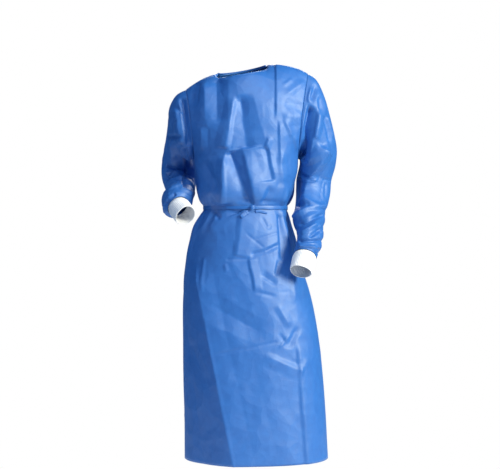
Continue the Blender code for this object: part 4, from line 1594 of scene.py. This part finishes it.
@dataclass
class Cuff:
    """A ribbed knitted cuff that carries on from the last ring of a sleeve.

    Attributes:
        name: Name of the object.
        start: Last ring of the sleeve.
        end: Where the cuff ends.
        reverse: Whether the rings run the other way round.
        ribs: How many ribs.
        rows: Spans of the grid along the cuff.
        thickness: Thickness of the knit.
        rib_height: Height of a rib.
        sway: How far the cuff is out of round.
        gap: Space between the sleeve and the cuff.
        sink: How far the cuff lies inside the sleeve's line.
        seam_pinch: How far it is drawn in at the sleeve.
        end_pinch: How far it is drawn in at its end.
    """

    name: str
    start: Array
    end: Ring
    reverse: bool
    ribs: int = 44
    rows: int = 40
    thickness: float = 0.0014
    rib_height: float = 0.0006
    sway: float = 0.0009
    gap: float = 0.0003
    sink: float = 0.0002
    seam_pinch: float = 0.0020
    end_pinch: float = 0.0008

    def build(self, material: Material) -> Piece:
        """Builds the cuff.

        Args:
            material: What it is made of.

        Returns:
            The object.
        """
        count = self.ribs * 6
        around = np.arange(count) * 360.0 / count
        own = np.arange(len(self.start) + 1) * 360.0 / len(self.start)
        ring = np.concatenate([self.start, self.start[:1]])
        start = np.stack([np.interp(around, own, ring[:, k]) for k in range(3)], axis=-1)
        turned = 360.0 - 360.0 / len(self.start) - around if self.reverse else around
        finish = SleeveForm.oval(self.end, turned)
        way = unit(finish.mean(axis=0) - start.mean(axis=0))
        share = np.linspace(0, 1, self.rows + 1)[:, None, None]
        grid = start[None] * (1 - share) + finish[None] * share + way * self.gap * (1 - share)
        radial = unit(grid - grid.mean(axis=1, keepdims=True))
        rib = np.cos(np.radians(around) * self.ribs)[None, :]
        rib = np.sign(rib) * np.abs(rib) ** 0.6
        down = share[..., 0]
        sway = self.sway * np.sin(np.radians(around) * 3 + 1.0)[None, :] * np.sin(down * 5)
        pinch = -self.seam_pinch * ease(1 - down / 0.18) - self.end_pinch * ease((down - 0.9) / 0.1)
        grid = grid + radial * (self.rib_height * rib + sway + pinch - self.sink)[..., None]
        piece = mesh_from_grid(self.name, grid, material, across=True)
        thicken(piece, self.thickness)
        return piece


@dataclass
class NeckBinding:
    """The narrow binding round the neck, open at the back.

    Attributes:
        gown: The cloth that it edges, shaped.
        height: Height of the binding.
        thickness: Its thickness.
        overlap: How much of it lies over the cloth.
        sink: How far it lies inside the cloth's line.
    """

    gown: GownCloth
    height: float = 0.0065
    thickness: float = 0.0026
    overlap: float = 0.0010
    sink: float = 0.0004

    def line(self) -> tuple[Array, Array]:
        """The neckline.

        Returns:
            Its points from the right back to the left back, and their outward directions.
        """
        form = self.gown.form
        points, outs = [], []
        for name in ("back_right", "front", "back_left"):
            cloth = self.gown.cloths[name]
            normals = cloth.normals()
            _, back, away = form.from_middle(self.gown.angles[name])
            inside = (away < form.neck_angle - 1e-6) | (~back & (away < form.neck_angle + 1e-6))
            points.append(cloth.points[-1, inside])
            outs.append(normals[-1, inside])
        return np.concatenate(points), np.concatenate(outs)

    def build(self, material: Material) -> Piece:
        """Builds the binding.

        Args:
            material: What it is made of.

        Returns:
            The object.
        """
        points, outs = self.line()
        for _ in range(3):
            outs[1:-1] = unit(outs[:-2] + outs[1:-1] * 2 + outs[2:])
        run = np.gradient(points, axis=0)
        up = unit(np.cross(outs, run))
        line = points + up * (self.height / 2 - self.overlap) - outs * self.sink
        rings = Ribbon(self.height, self.thickness).rings(line, outs, closed=False)
        return capped_tube("binding_of_the_neck", rings, material, closed=False)


class TieEnd(NamedTuple):
    """A free end of the tie: x and z where it leaves the knot and where it stops, and its width."""

    name: str
    start: tuple[float, float]
    stop: tuple[float, float]
    width: float


@dataclass
class WaistTie:
    """The flat tie round the waist with its knot and its two ends.

    Attributes:
        gown: The cloth that it lies on, shaped.
        thickness: Thickness of the tie.
        clearance: Space between the tie and the cloth.
        end_clearance: Space between its ends and the cloth.
        knot_x: Where the knot is across.
        knot_z: How high the knot is.
        knot_half_width: Half the width of the knot.
        knot_depth: Depth of the knot.
        knot_half_height: Half the height of the knot.
        ends: The left end and the right end.
    """

    gown: GownCloth
    thickness: float = 0.0016
    clearance: float = 0.0006
    end_clearance: float = 0.0012
    knot_x: float = 0.028
    knot_z: float = -0.416
    knot_half_width: float = 0.0064
    knot_depth: float = 0.0078
    knot_half_height: float = 0.0070
    ends: tuple[TieEnd, TieEnd] = (
        TieEnd("left_end_of_the_tie", (0.038, -0.4275), (0.072, -0.4290), 0.009),
        TieEnd("right_end_of_the_tie", (0.016, -0.4290), (-0.006, -0.4420), 0.012),
    )

    def _skin(self, x: float, z: float) -> float:
        """How far back the front of the gown is.

        Args:
            x: Where across.
            z: How high.

        Returns:
            Its y.
        """
        points = self.gown.cloths["front"].points.reshape(-1, 3)
        away = (points[:, 0] - x) ** 2 + (points[:, 2] - z) ** 2
        near = np.argsort(away)[:6]
        return float(points[near, 1].min())

    def _belt_line(self, count: int = 260) -> tuple[Array, Array]:
        """The line of the tie round the waist.

        Args:
            count: How many points.

        Returns:
            Its points and their outward directions.
        """
        form = self.gown.form
        angle = np.linspace(-180, 180, count, endpoint=False)
        points = form.ring(angle, np.full(count, form.belt_z))
        run = np.roll(points, -1, axis=0) - np.roll(points, 1, axis=0)
        outs = unit(np.stack([run[:, 1], -run[:, 0], 0 * run[:, 0]], axis=-1))
        edge = 360.0 - form.back_edge
        over = ease((-angle - form.layer_start) / (edge - form.layer_start))
        over = over + ease((angle - edge + 9.0) / 9.0)
        lift = form.layer_step * np.clip(over, 0, 1) + self.thickness / 2 + self.clearance
        turn = np.radians(angle)
        wave = 0.0006 * np.sin(turn * 7) + 0.0004 * np.sin(turn * 17 + 1)
        points = points + outs * lift[:, None]
        points[:, 2] += wave
        return points, outs

    def build(self, material: Material) -> dict[str, Piece]:
        """Builds the tie, its knot and its ends.

        Args:
            material: What they are made of.

        Returns:
            The objects, by piece.
        """
        line, outs = self._belt_line()
        ribbon = Ribbon(self.gown.form.belt_height, self.thickness)
        rings = ribbon.rings(line, outs, closed=True)
        tie = capped_tube("tie_round_the_waist", rings, material, closed=True)
        knot = self._knot(material)
        left, right = (self._end(end, material) for end in self.ends)
        return {"tie": tie, "knot": knot, "left": left, "right": right}

    def _knot(self, material: Material) -> Piece:
        """The knot, a lump with the turns of the tie round it.

        Args:
            material: What it is made of.

        Returns:
            The object.
        """
        front = float(self._belt_line()[0][:, 1].min()) - self.thickness / 2
        middle = np.array([self.knot_x, front - self.knot_depth / 2 - 0.0008, self.knot_z])
        turn = np.linspace(0, 2 * math.pi, 40, endpoint=False)[None, :]
        climb = np.linspace(-math.pi / 2, math.pi / 2, 31)[1:-1, None]
        ring = np.abs(np.cos(climb)) ** 0.8
        groove = 1 - 0.16 * np.exp(-(((np.sin(climb) - 0.35 * np.sin(turn)) / 0.16) ** 2))
        wider = 1 + 0.25 * np.abs(np.sin(climb))
        x = self.knot_half_width * ring * np.cos(turn) * wider * groove
        y = self.knot_depth / 2 * ring * np.sin(turn) * groove
        z = self.knot_half_height * np.sin(climb) + 0.0012 * np.cos(turn) * ring
        rings = np.stack([x, y, z], axis=-1) + middle
        return capped_tube("knot_of_the_tie", rings, material, closed=False)

    def _end(self, end: TieEnd, material: Material) -> Piece:
        """A free end of the tie that lies on the skirt.

        Args:
            end: Which end.
            material: What it is made of.

        Returns:
            The object.
        """
        share = np.linspace(0, 1, 24)
        (x0, z0), (x1, z1) = end.start, end.stop
        x = x0 + (x1 - x0) * share
        z = z0 + (z1 - z0) * share + 0.0015 * np.sin(share * 5)
        y = np.array([self._skin(a, b) for a, b in zip(x, z)])
        for _ in range(4):
            y[1:-1] = (y[:-2] + 2 * y[1:-1] + y[2:]) / 4
        line = np.stack([x, y - self.thickness / 2 - self.end_clearance, z], axis=-1)
        outs = np.tile([0.0, -1.0, 0.0], (len(line), 1))
        rings = Ribbon(end.width, self.thickness).rings(line, outs, closed=False)
        return capped_tube(end.name, rings, material, closed=False)


@dataclass
class NeckFastener:
    """The pair of touch tapes between the backs at the nape.

    Attributes:
        gown: The cloth that holds them, shaped.
        half_width: Half their width, in degrees round the neck.
        low_row: Row of the backs where they start, from the top edge.
        high_row: Row before which they stop.
        under_gap: Space over the left back.
        over_gap: Space under the right back, its thickness included.
    """

    gown: GownCloth
    half_width: float = 8.5
    low_row: int = -10
    high_row: int = -3
    under_gap: float = 0.0004
    over_gap: float = 0.0014

    def build(self, material: Material) -> Piece:
        """Builds the tapes.

        Args:
            material: What they are made of.

        Returns:
            The object.
        """
        cloths, angles = self.gown.cloths, self.gown.angles
        left, right = cloths["back_left"], cloths["back_right"]
        rows = slice(self.low_row, self.high_row)
        under, over = [], []
        for turn in np.linspace(-self.half_width, self.half_width, 9):
            a = int(np.argmin(np.abs(angles["back_left"] - 180 - turn)))
            b = int(np.argmin(np.abs(angles["back_right"] + 180 - turn)))
            under.append(left.points[rows, a] + left.normals()[rows, a] * self.under_gap)
            over.append(right.points[rows, b] - right.normals()[rows, b] * self.over_gap)
        low, high = np.stack(under, axis=1), np.stack(over, axis=1)
        rings = np.concatenate([high, low[:, ::-1]], axis=1)
        return capped_tube("tapes_at_the_nape", rings, material, closed=False)


# Studio


@dataclass(frozen=True)
class Lamp:
    """An area light.

    Attributes:
        name: Name of the light.
        place: Where it is.
        size: Side of its square.
        power: Watts.
        colour: Its colour.
    """

    name: str
    place: tuple[float, float, float]
    size: float
    power: float
    colour: Colour = (1.0, 1.0, 1.0)


@dataclass(frozen=True)
class Studio:
    """A white room with soft light, and the camera.

    Attributes:
        floor_z: Height of the floor.
        floor_size: Side of the floor.
        floor_glow: How much the floor shines by itself.
        ambient: Strength of the light from all round.
        ambient_colour: Its colour.
        camera_place: Where the camera is.
        lens: Focal length in millimetres.
        aim: Where the lights point.
        lamps: The lights.
    """

    floor_z: float = -1.50
    floor_size: float = 3.3
    floor_glow: float = 0.22
    ambient: float = 0.30
    ambient_colour: Colour = (0.20, 0.50, 1.0)
    camera_place: tuple[float, float, float] = (0.021, -4.2, -0.496)
    lens: float = 99.15
    aim: tuple[float, float, float] = (0.03, 0.0, -0.50)
    lamps: tuple[Lamp, ...] = (
        Lamp("key light", (3.2, -2.2, 1.0), 1.2, 245.0, (1.0, 0.965, 0.80)),
        Lamp("top light", (0.3, -2.2, 2.2), 1.0, 40.0),
        Lamp("back light", (0.3, 3.6, 1.3), 1.6, 75.0),
        Lamp("left light", (-3.2, -2.2, 0.4), 1.4, 9.0, (0.90, 0.95, 1.0)),
    )

    def build(self) -> None:
        """Builds the room, the lights and the camera."""
        self._world()
        self._floor()
        for lamp in self.lamps:
            self._light(lamp)
        data = bpy.data.cameras.new("camera")
        data.lens = self.lens
        data.sensor_width = 36.0
        camera = bpy.data.objects.new("camera", data)
        camera.location = self.camera_place
        camera.rotation_euler = (math.pi / 2, 0.0, 0.0)
        bpy.context.scene.collection.objects.link(camera)
        bpy.context.scene.camera = camera
        bpy.context.scene.view_settings.view_transform = "Standard"

    def _world(self) -> None:
        """A plain white surround that gives only a little light."""
        world = bpy.data.worlds.new("white surround")
        world.use_nodes = True
        tree = world.node_tree
        seen = tree.nodes["Background"]
        seen.inputs["Color"].default_value = (1.0, 1.0, 1.0, 1.0)
        seen.inputs["Strength"].default_value = 1.0
        given = tree.nodes.new("ShaderNodeBackground")
        given.inputs["Color"].default_value = (*self.ambient_colour, 1.0)
        given.inputs["Strength"].default_value = self.ambient
        path = tree.nodes.new("ShaderNodeLightPath")
        mix = tree.nodes.new("ShaderNodeMixShader")
        tree.links.new(path.outputs["Is Camera Ray"], mix.inputs["Fac"])
        tree.links.new(given.outputs["Background"], mix.inputs[1])
        tree.links.new(seen.outputs["Background"], mix.inputs[2])
        tree.links.new(mix.outputs["Shader"], tree.nodes["World Output"].inputs["Surface"])
        bpy.context.scene.world = world

    def _floor(self) -> None:
        """A plain pale floor."""
        nodes = Nodes("pale floor")
        nodes.fill(
            nodes.shader,
            base_color=(*Tone.FLOOR.value, 1.0),
            roughness=0.8,
            emission_color=(1.0, 1.0, 1.0, 1.0),
            emission_strength=self.floor_glow,
        )
        bpy.ops.object.select_all(action="DESELECT")
        bpy.ops.mesh.primitive_plane_add(size=self.floor_size, location=(0, 0, self.floor_z))
        floor = bpy.context.object
        floor.name = floor.data.name = "floor"
        floor.data.materials.append(nodes.material)

    def _light(self, lamp: Lamp) -> None:
        """Adds an area light that points at the gown.

        Args:
            lamp: The light.
        """
        data = bpy.data.lights.new(lamp.name, "AREA")
        data.energy = lamp.power
        data.size = lamp.size
        data.color = lamp.colour
        light = bpy.data.objects.new(lamp.name, data)
        light.location = lamp.place
        way = Vector(self.aim) - Vector(lamp.place)
        light.rotation_euler = way.to_track_quat("-Z", "Y").to_euler()
        bpy.context.scene.collection.objects.link(light)


# Whole


def note_size() -> None:
    """Brings the scene's positions up to date."""
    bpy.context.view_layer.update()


def main() -> None:
    logging.basicConfig(level=logging.INFO, format="%(name)s: %(message)s")
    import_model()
    note_size()
    blue = NonwovenFinish("blue nonwoven").material()
    edge = NonwovenFinish("blue binding", roughness=0.46, bond_scale=900.0).material()
    white = KnitFinish("white knit").material()
    hook = KnitFinish("white touch tape", loops=1400.0).material()

    gown = GownCloth(BodyForm(), Drawing())
    panels = gown.build(blue)
    knitted = {}
    for side, end, reverse in (("left", LEFT_CUFF_END, True), ("right", RIGHT_CUFF_END, False)):
        start = gown.cloths[f"sleeve_{side}"].points[-1]
        knitted[f"cuff_{side}"] = Cuff(f"{side}_cuff", start, end, reverse).build(white)
    LOG.info("cuffs done")
    binding = NeckBinding(gown).build(edge)
    LOG.info("neck binding done")
    tie = WaistTie(gown).build(edge)
    LOG.info("waist tie done")
    tapes = NeckFastener(gown).build(hook)
    LOG.info("tapes done")

    nodes = {
        "front_panel": (panels["front"], "blue_nonwoven"),
        "back_left_panel": (panels["back_left"], "blue_nonwoven"),
        "back_right_panel": (panels["back_right"], "blue_nonwoven"),
        "sleeve_left": (panels["sleeve_left"], "blue_nonwoven"),
        "sleeve_right": (panels["sleeve_right"], "blue_nonwoven"),
        "cuff_left": (knitted["cuff_left"], "white_knit"),
        "cuff_right": (knitted["cuff_right"], "white_knit"),
        "neck_binding": (binding, "blue_binding"),
        "neck_fastener": (tapes, "white_fastener"),
        "waist_tie": (tie["tie"], "blue_binding"),
        "waist_knot": (tie["knot"], "blue_binding"),
        "tie_end_left": (tie["left"], "blue_binding"),
        "tie_end_right": (tie["right"], "blue_binding"),
    }
    for node, (piece, slot) in nodes.items():
        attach(piece, "root")
        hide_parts(node)
    Studio().build()
    note_size()


if __name__ == "__main__":
    main()
